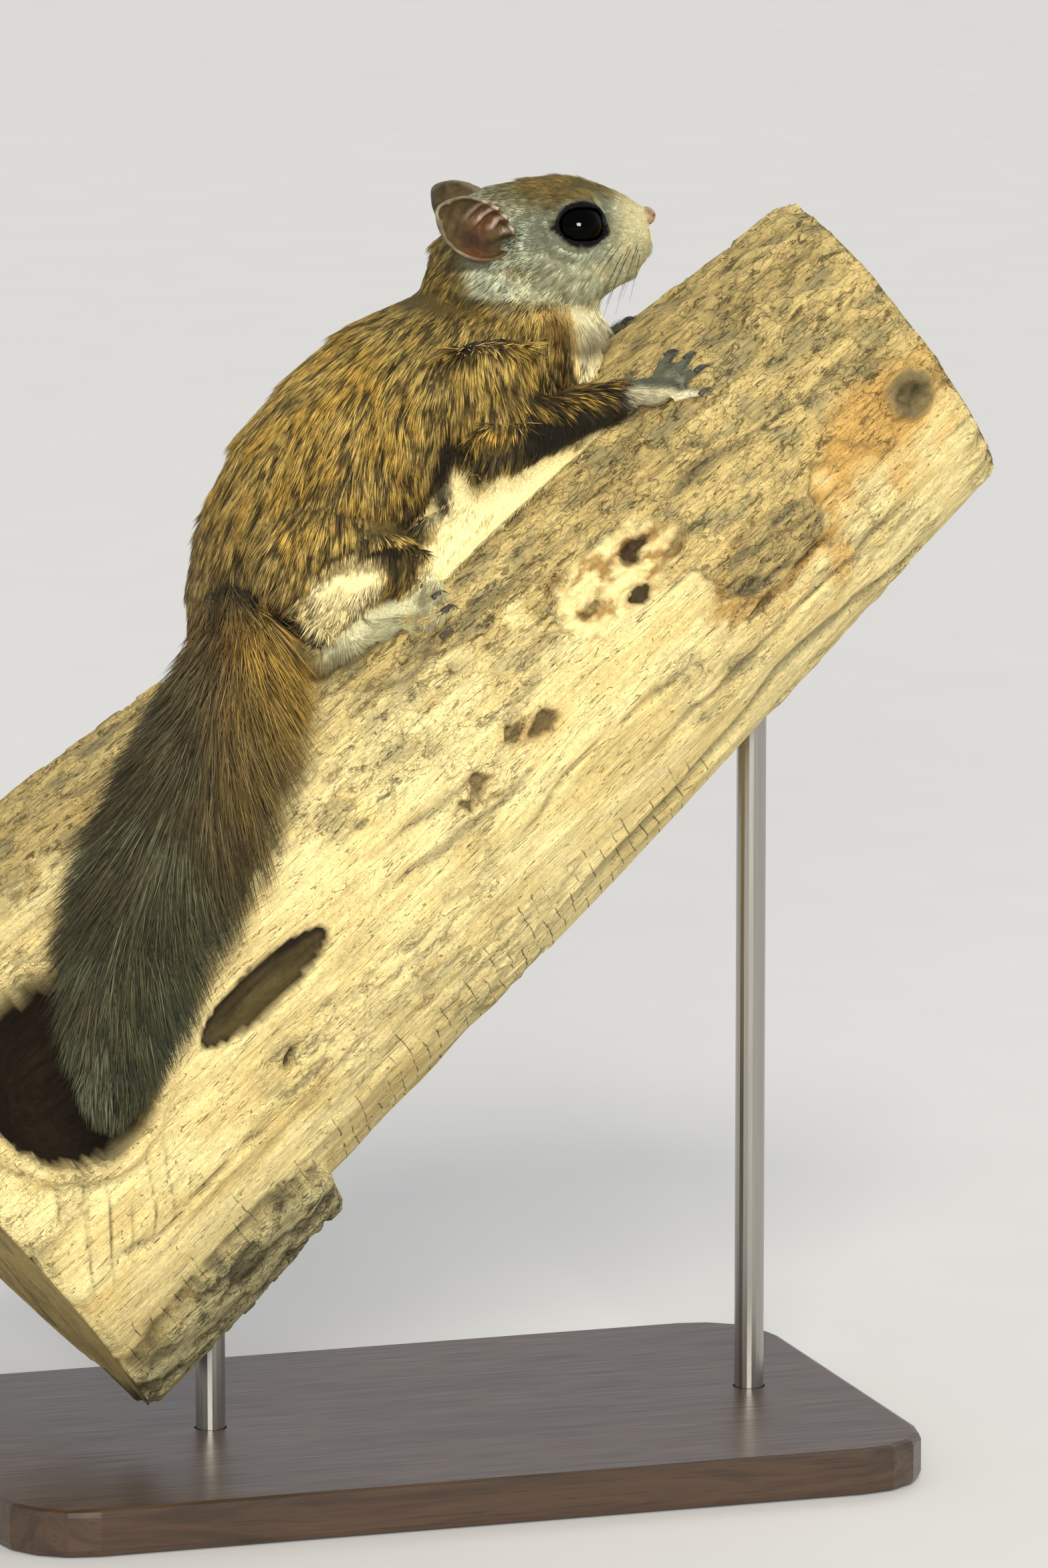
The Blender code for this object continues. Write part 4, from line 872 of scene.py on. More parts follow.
def lie(points, normals):
    """The way, length and lift of the hair at points of the skin."""
    total = np.zeros((len(points), 6))
    for start in range(0, len(points), 20000):
        part = slice(start, start + 20000)
        gap = np.linalg.norm(points[part, None] - GUIDES[None, :, :3], axis=-1) / GUIDES[:, 8]
        weight = np.exp(-np.minimum(gap**2, 60.0)) + 1e-9 / (0.01 + gap**4)
        weight /= weight.sum(axis=1, keepdims=True)
        total[part, :5] = weight @ GUIDES[:, 3:8]
    nearest, side, _ = on_tail(points)
    tail = TAIL_SHARES[nearest]
    width = brush_width(tail)
    _, direction, across, _ = (values[nearest] for values in TAIL_LINE)
    opened = 0.55 + 0.45 * step(0.0, 0.25, tail)
    spread = np.radians(np.clip(side / 7.0, -1.0, 1.0) * (36.0 - 18.0 * tail) * opened)
    way = direction * np.cos(spread)[:, None] + across * np.sin(spread)[:, None]
    outer = np.clip(np.abs(side) / 7.0, 0.0, 1.0)
    length = (11.0 + 7.0 * step(0.0, 0.25, tail)) * (1.0 - outer)
    length = length + (width - 5.0) / np.sin(np.radians(36.0)) * 0.9 * outer
    share = step(0.02, 0.12, tail) * on_tail_area(points)
    way = mixed(total[:, :3], way, share)
    way -= normals * np.sum(way * normals, axis=-1, keepdims=True)
    length = total[:, 3] * (1.0 - share) + np.minimum(length, 21.0) * share
    lift = total[:, 4] * (1.0 - share) + (8.0 + 5.0 * tail) * share
    return unit(way), length, lift


def on_tail_area(points):
    perch = in_perch(points)
    _, side, over = on_tail(points)
    return ((np.hypot(side / 11.0, over / 7.5) < 1.0) & (perch[:, 0] < -58.0)).astype(float)


# The coat


def skin_arrays(skin):
    """The skin's corners, their normals and the map's places, for each triangle."""
    mesh = skin.data
    count = len(mesh.polygons)
    corners = np.zeros(count * 3, np.int32)
    mesh.loops.foreach_get("vertex_index", corners)
    flat = np.zeros(count * 6, np.float32)
    mesh.uv_layers["OFBake"].uv.foreach_get("vector", flat)
    corners = corners.reshape(-1, 3)
    return points_of(skin)[corners], normals_of(skin)[corners], flat.reshape(-1, 3, 2).astype(float)


def scattered(arrays, density, draw):
    """Roots spread over the skin, so many to a square millimetre of each triangle."""
    corners, normals, places = arrays
    first_edge, second_edge = corners[:, 1] - corners[:, 0], corners[:, 2] - corners[:, 0]
    area = 0.5 * np.linalg.norm(np.cross(first_edge, second_edge), axis=-1)
    wanted = area * density
    count = np.floor(wanted + draw.random(len(wanted))).astype(int)
    face = np.repeat(np.arange(len(wanted)), count)
    first, second = draw.random((2, len(face)))
    flip = first + second > 1.0
    first[flip], second[flip] = 1.0 - first[flip], 1.0 - second[flip]
    share = np.stack((1.0 - first - second, first, second), axis=-1)[:, :, None]
    return (
        (corners[face] * share).sum(axis=1),
        unit((normals[face] * share).sum(axis=1)),
        (places[face] * share).sum(axis=1),
    )


def ear_frame(side):
    """The ear's root, its axis, the way its mouth faces and the way across it, for that side."""
    pricked = FAR_EAR_PRICKED if side > 0.0 else 0.0
    base = head_point(EAR_ROOT[0] + 0.3 * pricked, side * EAR_ROOT[1], EAR_ROOT[2] - 0.3 * pricked)
    axis = unit(head_point(EAR_TIP[0] + pricked, side * EAR_TIP[1], EAR_TIP[2] - 0.4 * pricked) - base)
    mouth = np.array((0.34, 0.93 * side, 0.10)) @ HEAD_AXES
    mouth = unit(mouth - axis * (mouth @ axis))
    return base, axis, mouth, np.cross(axis, mouth)


def in_ear_cup(points, side):
    """True for places of the skin that the ear's cup covers."""
    base, axis, mouth, across = ear_frame(side)
    offset = points - base
    gap = np.hypot((offset @ axis - 7.0) / 9.6, (offset @ across) / 6.6)
    return (gap < 1.0) & (np.abs(offset @ mouth) < 8.5)


def bare(points, normals):
    """True where no hair grows: under the belly, in the eyes, under the ears' cups and on the nose."""
    perch = in_perch(points)
    height, turn = bark_height(perch)
    head = in_head(points)
    off_bark = unit(on_bark(perch[:, 0], turn, 1.0) - on_bark(perch[:, 0], turn, 0.0))
    facing_bark = np.sum(normals * off_bark, axis=-1)
    hidden = (height < 4.0) & (np.abs(turn) < 27.0) | (height < 6.0) & (facing_bark < -0.35)
    for side in SIDES.values():
        far, angle, round_way = round_eye(points, side)
        opening = np.hypot(LID_OPENING[0] * round_way[:, 0], LID_OPENING[1] * round_way[:, 1])
        hidden |= (far < EYE_RADIUS + 1.6) & (angle < opening + 2.0)
        hidden |= in_ear_cup(points, side)
    nose = (head - np.array(NOSE_PAD)) / np.array((2.6, 3.0, 2.3))
    return hidden | (np.linalg.norm(nose, axis=-1) < 1.0)


def clumped(points, ways, size, draw):
    """For each root, the sideways step to the middle line of its clump, and the clump's number."""
    middles = draw.permutation(len(points))[: max(8, int(len(points) / size))]
    tree = KDTree(len(middles))
    for order, middle in enumerate(middles):
        tree.insert(Vector(points[middle] + ways[middle] * draw.uniform(-1.0, 1.0)), order)
    tree.balance()
    clump = np.array([tree.find(Vector(point))[1] for point in points])
    offset = points[middles][clump] - points
    offset -= ways * np.sum(offset * ways, axis=-1, keepdims=True)
    return offset, clump


def flecked(points, ways, count, draw):
    """How much each root lies in one of many short dark gaps that run with the lie of the coat."""
    tree = KDTree(len(points))
    for order, point in enumerate(points):
        tree.insert(Vector(point), order)
    tree.balance()
    share = np.zeros(len(points))
    for middle in draw.permutation(len(points))[:count]:
        length, width = draw.uniform(1.9, 4.4), draw.uniform(0.6, 1.15)
        near = np.array([found[1] for found in tree.find_range(Vector(points[middle]), length)])
        offset = points[near] - points[middle]
        along = offset @ ways[middle]
        side = np.linalg.norm(offset - along[:, None] * ways[middle], axis=-1)
        share[near] = np.maximum(share[near], step(1.2, 0.6, np.hypot(along / length, side / width)))
    return share


def strands(roots, normals, ways, lengths, lifts, pull, rows, draw):
    """The line of each tuft, rising from the skin, bending down along the lie and closing on its clump."""
    angle = np.radians(lifts)
    line = [roots - normals * ROOT_DEPTH]
    for level in np.linspace(0.0, 1.0, rows + 1)[1:]:
        bend = angle * (1.35 - 1.1 * level) if rows > 1 else angle
        heading = ways * np.cos(bend)[:, None] + normals * np.sin(bend)[:, None]
        line.append(line[-1] + heading * (lengths / rows)[:, None])
    swing = np.cross(normals, ways) * (draw.normal(0.0, 0.06, len(roots)) * lengths)[:, None]
    levels = np.linspace(0.0, 1.0, rows + 1)
    return [point + pull * level**0.8 + swing * level**1.5 for point, level in zip(line, levels)]


def brush_strands(roots, normals, by_clump, rows, draw):
    """The line of each hair of the tail, from the core out to the brush's outline further down the tail."""
    nearest, side, over = on_tail(roots)
    share = TAIL_SHARES[nearest]
    turn = np.arctan2(over / TAIL_CORE_DEPTH, side / TAIL_CORE_WIDTH) + 0.22 * by_clump
    turn = turn + draw.normal(0.0, 0.14, len(roots))
    advance = BRUSH_STRAND * (0.6 + 0.4 * step(0.0, 0.2, share)) * (1.0 + 0.22 * by_clump)
    advance = advance * draw.uniform(0.7, 1.15, len(roots)) * (1.0 + 0.25 * step(0.75, 1.0, share))
    ahead = share + advance / TAIL_LENGTH
    reach = draw.uniform(0.2, 1.0, len(roots)) ** 0.45 * (0.97 + 0.07 * by_clump)
    centre, _, across, out = tail_frame(ahead)
    lateral = np.cos(turn) * brush_width(ahead) * reach * np.where(np.cos(turn) < 0.0, 1.09, 0.97)
    above = np.sin(turn) * np.where(np.sin(turn) > 0.0, BRUSH_HEIGHT, 5.0) * reach
    sag = lateral**2 / 130.0
    end = centre + across * lateral[:, None] + out * (above - sag)[:, None]
    way = unit(end - roots)
    control = roots + way * (advance * 0.4)[:, None] + normals * (advance * 0.12)[:, None]
    start = roots - normals * ROOT_DEPTH
    levels = np.linspace(0.0, 1.0, rows + 1)
    return [start * (1 - level) ** 2 + control * 2 * level * (1 - level) + end * level**2 for level in levels]


def tufts(name, line, normals, places, widths, tones, outline, flat=0.4):
    """One mesh of closed, tapered, bent tufts, with their colours, painted darker along their sides as shade,
    and their places on the map.
    """
    rows = len(line) - 1
    count = len(normals)
    sides = unit(np.cross(normals, line[-1] - line[0]))
    spread = {1: (1.0,), 2: (0.8, 0.95)}[rows]
    vertices = []
    for point, breadth in zip(line[:-1], spread):
        half = sides * (widths * 0.5 * breadth)[:, None]
        rise = normals * (widths * flat * breadth)[:, None]
        vertices += [point - half, point + half, point + rise]
    vertices.append(line[-1])
    points = np.stack(vertices, axis=1)
    pattern = [(0, 2, 1)]
    for row in range(rows - 1):
        for i in range(3):
            a, b = row * 3 + i, row * 3 + (i + 1) % 3
            pattern += [(a, b, b + 3), (a, b + 3, a + 3)]
    last = (rows - 1) * 3
    pattern = np.array(pattern + [(last + i, last + (i + 1) % 3, last + 3) for i in range(3)])
    faces = (np.arange(count) * points.shape[1])[:, None, None] + pattern[None]
    obj = new_object(name, points.reshape(-1, 3), faces.reshape(-1, 3))
    base, middle, tip = tones
    ringed = {1: (middle,), 2: (base, middle)}[rows]
    # the side corners of each ring are darker than its ridge: painted shade on the tuft's sides
    shade = []
    for tone in ringed:
        shade += [tone * (1.0 - outline), tone * (1.0 - outline), tone]
    colour = np.stack(shade + [tip], axis=1).reshape(-1, 3)
    coloured(obj, colour)
    height = np.append(np.repeat(np.arange(rows) / rows, 3), 1.0)
    lean = np.append(np.tile((-1.0, 1.0, 0.0), rows), 0.0)
    patch = np.stack((lean * 0.0012, (height - 0.5) * 0.0028), axis=-1)
    place = (places[:, None] + patch[None]).reshape(-1, 2)
    layer = obj.data.uv_layers.new(name="OFBake")
    layer.uv.foreach_set("vector", place[faces.ravel()].astype(np.float32).ravel())
    return obj


def coat(name, roots, normals, places, draw, settings):
    """Tufts for a set of roots, split into pieces of under 200,000 triangles."""
    count = len(roots)
    width, clump_size, grip, rows, contrast, salt, flecks = settings
    ways, lengths, lifts = lie(roots, normals)
    if name == "coat_body":
        lengths = lengths * 0.8
    wander = layered(roots / 5.0, 31)[:, None] - 0.5
    ways = unit(ways + np.cross(normals, ways) * wander * 0.7)
    offset, clump = clumped(roots, ways, clump_size, draw)
    clumps = clump.max() + 1
    by_clump = draw.uniform(-1.0, 1.0, clumps)[clump]
    lengths = lengths * draw.uniform(0.8, 1.12, count) * (1.0 + 0.14 * by_clump)
    lifts = lifts * draw.uniform(0.85, 1.2, count) * (1.0 + 0.2 * draw.uniform(-1.0, 1.0, clumps)[clump])
    showing = roots + ways * (lengths * 0.62)[:, None]
    base = markings(roots)[0]
    tip = markings(showing)[1]
    golden = step(0.30, 0.20, tip[:, 2])
    pale = step(0.28, 0.36, tip[:, 2]) * (1.0 if name == "coat_body" else 0.0)
    # creases painted dark as shade, joined by short dark gaps in the coat
    gap = np.maximum(crease_shade(roots), crease_shade(showing))
    if flecks:
        gap = np.maximum(gap, flecked(showing, ways, flecks, draw) * golden)
    lengths = lengths * (1.0 - 0.45 * gap) * (1.0 - 0.3 * pale)
    lifts = lifts * (1.0 - 0.4 * pale)
    tone = draw.uniform(1.0 - 0.6 * salt - 0.12, 1.12, count)
    tone = tone * (1.0 + contrast * 0.28 * by_clump * (1.0 - 0.6 * pale))
    tip = tip * tone[:, None]
    edge = np.linalg.norm(offset, axis=-1)
    edge = edge / edge.mean()
    # tufts at the edges of clumps, and in creases, are painted towards the hair's dark base as shade between
    # them; the salt adds real dark hairs
    dark = np.maximum(min(contrast, 1.0) * 0.8 * step(0.95, 1.7, edge) * golden, gap * 0.88)
    dark = np.maximum(dark, (draw.random(count) < salt) * 0.6 * (1.0 - pale))
    tip = mixed(tip, base * 1.3, np.clip(dark, 0.0, 0.92))
    middle = mixed(base, tip, 0.85 - contrast * 0.42 * golden)
    widths = width * draw.uniform(0.8, 1.25, count) * (0.55 + 0.45 * step(1.0, 7.0, lengths))
    pull = offset * (grip * step(1.5, 6.0, lengths) * (1.0 - 0.85 * pale))[:, None]
    if name == "coat_tail":
        line = brush_strands(roots, normals, by_clump, rows, draw)
    else:
        line = strands(roots, normals, ways, lengths, lifts, pull, rows, draw)
    most = MOST_TRIANGLES // (6 * rows - 2)
    order = np.argsort(roots[:, 0], kind="stable")
    # how much darker the sides of each tuft are painted, as shade
    outline = 0.35 * min(contrast, 1.0)
    pieces = []
    for number, part in enumerate(np.array_split(order, max(1, math.ceil(count / most)))):
        tones = (base[part], middle[part], tip[part])
        points = [point[part] for point in line]
        label = f"{name}_{number + 1}"
        pieces.append(tufts(label, points, normals[part], places[part], widths[part], tones, outline))
    return pieces


# Materials


class Value:
    """A socket of a material, with the arithmetic that its Math nodes do."""

    def __init__(self, finish, socket):
        self.finish = finish
        self.socket = socket

    def maths(self, operation, *values):
        return self.finish.maths(operation, *values)

    def __add__(self, other):
        return self.maths("ADD", self, other)

    def __mul__(self, other):
        return self.maths("MULTIPLY", self, other)

    def __sub__(self, other):
        return self.maths("SUBTRACT", self, other)

    def __rsub__(self, other):
        return self.maths("SUBTRACT", other, self)

    __radd__ = __add__
    __rmul__ = __mul__


class Finish:
    """A material with one Principled shader, and one method that adds its other nodes."""

    def __init__(self, name, **values):
        self.material = bpy.data.materials.new(name)
        self.material.use_nodes = True
        self.nodes = self.material.node_tree.nodes
        self.links = self.material.node_tree.links
        self.shader = self.nodes["Principled BSDF"]
        for socket, value in values.items():
            self.put(self.shader.inputs[socket.replace("_", " ")], value)

    def put(self, socket, value):
        if isinstance(value, Value):
            self.links.new(value.socket, socket)
        elif isinstance(value, (tuple, np.ndarray)) and socket.type == "RGBA":
            socket.default_value = (*value[:3], 1.0)
        else:
            socket.default_value = value

    def node(self, kind, settings, inputs, output=0):
        made = self.nodes.new("ShaderNode" + kind)
        for key, value in settings.items():
            if key == "stops":
                ramp = made.color_ramp
                while len(ramp.elements) < len(value):
                    ramp.elements.new(0.5)
                for element, (position, colour) in zip(ramp.elements, value):
                    element.position = position
                    element.color = (*colour, 1.0)
            else:
                setattr(made, key, value)
        for key, value in inputs.items():
            self.put(made.inputs[key], value)
        return Value(self, made.outputs[output])

    def coordinates(self, scale=(1.0, 1.0, 1.0), turn=(0.0, 0.0, 0.0)):
        """Object coordinates in millimetres, turned and then scaled."""
        place = self.node("TexCoord", {}, {}, "Object")
        rotated = self.node("Mapping", {}, {"Vector": place, "Rotation": turn})
        return self.node("Mapping", {}, {"Vector": rotated, "Scale": tuple(1.0 / MM * s for s in scale)})

    def noise(self, coordinates, scale=1.0, detail=3.0, roughness=0.5, distortion=0.0):
        settings = {"Vector": coordinates, "Scale": scale, "Detail": detail, "Roughness": roughness}
        return self.node("TexNoise", {}, {**settings, "Distortion": distortion}, "Fac")

    def maths(self, operation, *values):
        return self.node("Math", {"operation": operation}, dict(enumerate(values)))

    def cracks(self, coordinates, waver, width):
        """Thin lines round irregular cells, 1 on them, broken where they fade."""
        shift = self.node("TexNoise", {}, {"Vector": coordinates, "Scale": 1.3, "Detail": 3.0}, "Color")
        moved = self.node("VectorMath", {"operation": "SCALE"}, {0: shift, "Scale": waver * 0.3})
        moved = self.node("VectorMath", {"operation": "ADD"}, {0: coordinates, 1: moved})
        cells = {"Vector": moved, "Scale": 1.0}
        edge = self.node("TexVoronoi", {"feature": "DISTANCE_TO_EDGE"}, cells, "Distance")
        fade = self.noise(coordinates, 0.45, 2.0)
        return self.between(edge, width * 1.5, width * 0.4) * self.between(fade, 0.38, 0.56)

    def between(self, value, low, high):
        """0 to 1 as the value goes from low to high."""
        settings = {"interpolation_type": "SMOOTHSTEP"}
        return self.node("MapRange", settings, {"Value": value, "From Min": low, "From Max": high})

    def blend(self, share, first, second, mode="MIX"):
        made = self.nodes.new("ShaderNodeMix")
        made.data_type = "RGBA"
        made.blend_type = mode
        for index, value in ((0, share), (6, first), (7, second)):
            self.put(made.inputs[index], value)
        return Value(self, made.outputs[2])

    def shaded(self, label, tone, blue=None):
        """A mesh's own colours, under the name that they were given, darkened by a tone."""
        colour = self.node("Attribute", {"attribute_name": label}, {}, "Color")
        grey = self.node("CombineColor", {}, {0: tone, 1: tone, 2: tone if blue is None else blue})
        return self.blend(1.0, colour, grey, "MULTIPLY")

    def paint(self, colour):
        self.put(self.shader.inputs["Base Color"], colour)

    def bumped(self, height, distance, strength=1.0):
        """Raises the surface by a height, over a distance in millimetres."""
        inputs = {"Height": height, "Distance": distance * MM, "Strength": strength}
        self.put(self.shader.inputs["Normal"], self.node("Bump", {}, inputs))

    def on(self, obj):
        obj.data.materials.clear()
        obj.data.materials.append(self.material)
        return obj


def coat_finish():
    finish = Finish("coat", Roughness=0.6, Specular_IOR_Level=0.22, Sheen_Weight=0.03, Sheen_Roughness=0.4)
    grain = finish.noise(finish.coordinates(), 0.9, 2.0)
    finish.paint(finish.shaded("coat", finish.between(grain, 0.2, 0.8) * 0.3 + 0.82))
    return finish


def skin_finish():
    finish = Finish("underfur", Roughness=0.7, Specular_IOR_Level=0.08)
    fine = finish.noise(finish.coordinates(), 2.4, 3.0)
    finish.paint(finish.shaded("coat", finish.between(fine, 0.3, 0.7) * 0.45 + 0.75))
    finish.bumped(fine, 0.3, 0.6)
    return finish


def wood_finish():
    """Weathered dead wood: its tones come from the relief, under fibres, pores and fine cracks."""
    finish = Finish("dead_wood", Roughness=0.88, Specular_IOR_Level=0.2)
    wear = finish.node("Attribute", {"attribute_name": "wear"}, {}, "Vector")
    rough, checked, smooth = (finish.node("SeparateXYZ", {}, {"Vector": wear}, axis) for axis in "XYZ")

    def along_grain(*scale):
        return finish.coordinates(scale, (0.0, math.radians(PERCH_SLOPE), 0.0))

    def streaks(scale, detail, roughness=0.5, distortion=0.0):
        return finish.noise(along_grain(*scale), 1.0, detail, roughness, distortion)

    grain = streaks((0.05, 0.9, 0.9), 5.0, 0.62)
    fibres = streaks((0.07, 3.6, 3.6), 3.0, 0.6)
    specks = streaks((0.7, 0.9, 0.9), 5.0, 0.7)
    pores = streaks((1.6, 3.2, 3.2), 2.0, 0.6)
    tone = finish.between(grain, 0.32, 0.68) * 0.24 + finish.between(fibres, 0.3, 0.7) * 0.14
    tone = tone + finish.between(specks, 0.35, 0.65) * 0.22 + 0.62
    crust = streaks((0.16, 0.5, 0.5), 7.0, 0.78, 0.4)
    scabbed = finish.between(crust, 0.45, 0.36) * rough
    netted = finish.cracks(along_grain(0.30, 0.75, 0.75), 3.0, 0.05) * rough
    wave_inputs = {
        "Vector": along_grain(0.085, 0.03, 0.03),
        "Scale": 1.0,
        "Distortion": 3.4,
        "Detail": 3.0,
        "Detail Scale": 1.6,
        "Detail Roughness": 0.6,
    }
    wave = finish.node("TexWave", {"bands_direction": "X", "wave_profile": "SIN"}, wave_inputs, "Fac")
    broken = finish.between(streaks((0.34, 0.22, 0.22), 2.0), 0.42, 0.54)
    across = finish.between(wave, 0.978, 0.998) * finish.between(specks, 0.36, 0.5) * broken * checked
    split = finish.maths("ABSOLUTE", streaks((0.022, 0.62, 0.62), 2.0) - 0.5)
    split = finish.between(split, 0.011, 0.002) * finish.between(specks, 0.42, 0.56)
    pitted = finish.between(pores, 0.62, 0.72) * 0.7
    line = scabbed * 0.65 + netted * 0.4 + across * 0.7 + split * 0.7 + pitted * 0.5
    line = finish.maths("MINIMUM", line, 0.88) * (1.0 - smooth)
    finish.paint(finish.blend(line, finish.shaded("wood", tone, tone * 0.97), tuple(CRACK)))
    finish.bumped(grain * 0.6 + fibres * 0.4 + specks * 0.6 - line * 0.9, 0.6, 0.9)
    return finish


# The perch

STRAW = np.array((0.75, 0.57, 0.225))
PALE_WOOD = np.array((0.88, 0.73, 0.355))
BUFF_WOOD = np.array((0.41, 0.285, 0.105))
GREY_WOOD = np.array((0.255, 0.225, 0.118))
CRACK = np.array((0.040, 0.034, 0.020))
TAN = np.array((0.56, 0.32, 0.085))
OUTER_WOOD = np.array((0.50, 0.375, 0.150))
# near black: painted shade deep in the hollows and holes
HOLLOW_SHADE = np.array((0.012, 0.008, 0.005))

# Hollows that insects ate: a middle on the bark, half the length along it and round it, and the depth
EATEN = (
    ((8.5, 65.5), 4.4, 2.8, 2.6),
    ((2.2, 78.5), 3.8, 1.5, 2.4),
    ((-7.5, 71.5), 3.6, 2.4, 1.9),
    ((-10.5, 60.0), 2.6, 1.5, 1.2),
    ((15.5, 73.0), 3.2, 1.6, 1.6),
    ((21.0, 106.5), 5.0, 1.2, 1.8),
    ((36.0, 106.0), 6.0, 1.3, 1.7),
    ((-31.5, 86.5), 4.8, 2.4, 2.2),
    ((-37.5, 82.5), 3.4, 1.7, 2.0),
    ((-49.0, 85.5), 3.6, 2.0, 2.1),
    ((-54.5, 87.5), 2.8, 1.4, 2.1),
    ((-49.5, 91.0), 3.0, 1.2, 1.0),
    ((-117.0, 104.0), 1.8, 1.0, 2.0),
)
# Long open grooves: where they start and end along the perch, their turn, and the depth
GROOVES = (
    (-98.0, -40.0, 84.0, 0.9),
    (-90.0, -30.0, 93.0, 0.8),
    (-60.0, 10.0, 104.0, 0.7),
    (-180.0, -120.0, 112.0, 0.8),
    (-30.0, 70.0, 118.0, 0.8),
    (-70.0, 0.0, 52.0, 0.7),
    (10.0, 80.0, 63.0, 0.7),
    (-120.0, -60.0, 24.0, 0.8),
    (-40.0, 60.0, -60.0, 0.8),
    (-150.0, -70.0, -85.0, 0.8),
    (-60.0, 50.0, 170.0, 0.9),
    (-170.0, -80.0, 200.0, 0.9),
)
# Where the brown outer layer of the wood ends: places along the perch, and the turn there
OUTER_EDGE = (
    (-188.0, 20.0), (-120.0, 30.0), (-60.0, 46.0), (-34.0, 58.0), (-12.0, 66.0), (0.0, 76.0), (11.0, 78.0),
    (21.0, 104.0), (29.0, 106.0), (41.0, 101.0), (48.0, 85.0), (64.0, 91.0), (76.0, 88.0), (90.0, 91.0),
)
# The upper edge of the slab of bark that is left under the low end
SLAB_EDGE = ((-188.0, 140.0), (-172.0, 137.0), (-150.0, 133.0), (-136.0, 134.0), (-124.0, 143.0))
# The upper edge of the long shelf low on the perch's right side
SHELF = (
    (-60.0, 139.0), (-20.5, 137.7), (1.5, 135.0), (16.4, 129.9), (42.8, 135.4), (61.7, 146.0), (90.0, 152.0),
)
# Ovals on the bark: the middle, along the perch and in degrees, and half the length along it and round it
CRACK_NET = ((-67.0, 66.0), 19.0, 8.0)
STAIN = ((66.0, 88.0), 18.0, 9.0)
BITTEN = ((1.0, 69.0), 16.0, 8.0)
LIFTED = ((31.0, 95.0), 14.5, 6.6)
# the painted shadow round the lifted flake
LIFTED_SHADOW = ((30.0, 99.0), 15.5, 7.6)
KNOT = ((74.5, 88.5), 5.6, 5.2)


def bark_lumps(along, turn):
    long_wave = np.sin(np.radians(turn * 3.0 + along * 0.9))
    short_wave = np.sin(np.radians(turn * 7.0 - along * 2.3))
    return BARK_LUMP * (0.62 * long_wave + 0.38 * short_wave)


def oval_gap(along, turn, centre, half_along, half_round):
    """The distance from an oval's middle on the bark, 1 at its rim."""
    arc = np.radians(turn - centre[1]) * (BARK_RADIUS - BARK_TAPER * centre[0])
    return np.hypot((along - centre[0]) / half_along, arc / half_round)


def hole_gap(along, turn, centre, radii):
    """The distance from the middle of a ragged hole, 1 at its rim."""
    angle = np.radians(turn)
    grid = np.stack((along / 4.0, 10.6 * np.sin(angle), 10.6 * np.cos(angle)), axis=-1)
    return oval_gap(along, turn, centre, radii[0], radii[1]) + 0.13 * (layered(grid, 87) - 0.5)


def drawn_to_rims(along, turn):
    """Places on the bark, with those next to a hole's rim moved onto it."""
    for centre, radii in ((KNOT_HOLE, KNOT_HOLE_RADII), (SLOT_HOLE, SLOT_HOLE_RADII)):
        gap = hole_gap(along, turn, centre, radii)
        local = oval_gap(along, turn, centre, radii[0], radii[1])
        reach = np.hypot((along - centre[0]), np.radians(turn - centre[1]) * BARK_RADIUS)
        reach = reach / np.maximum(local, 1e-6)
        near = np.abs(gap - 1.0) * reach < 0.62 * BARK_STEP
        scale = np.where(near, 1.0 + (1.0 - gap) / np.maximum(local, 1e-6), 1.0)
        along, turn = centre[0] + (along - centre[0]) * scale, centre[1] + (turn - centre[1]) * scale
    return along, turn


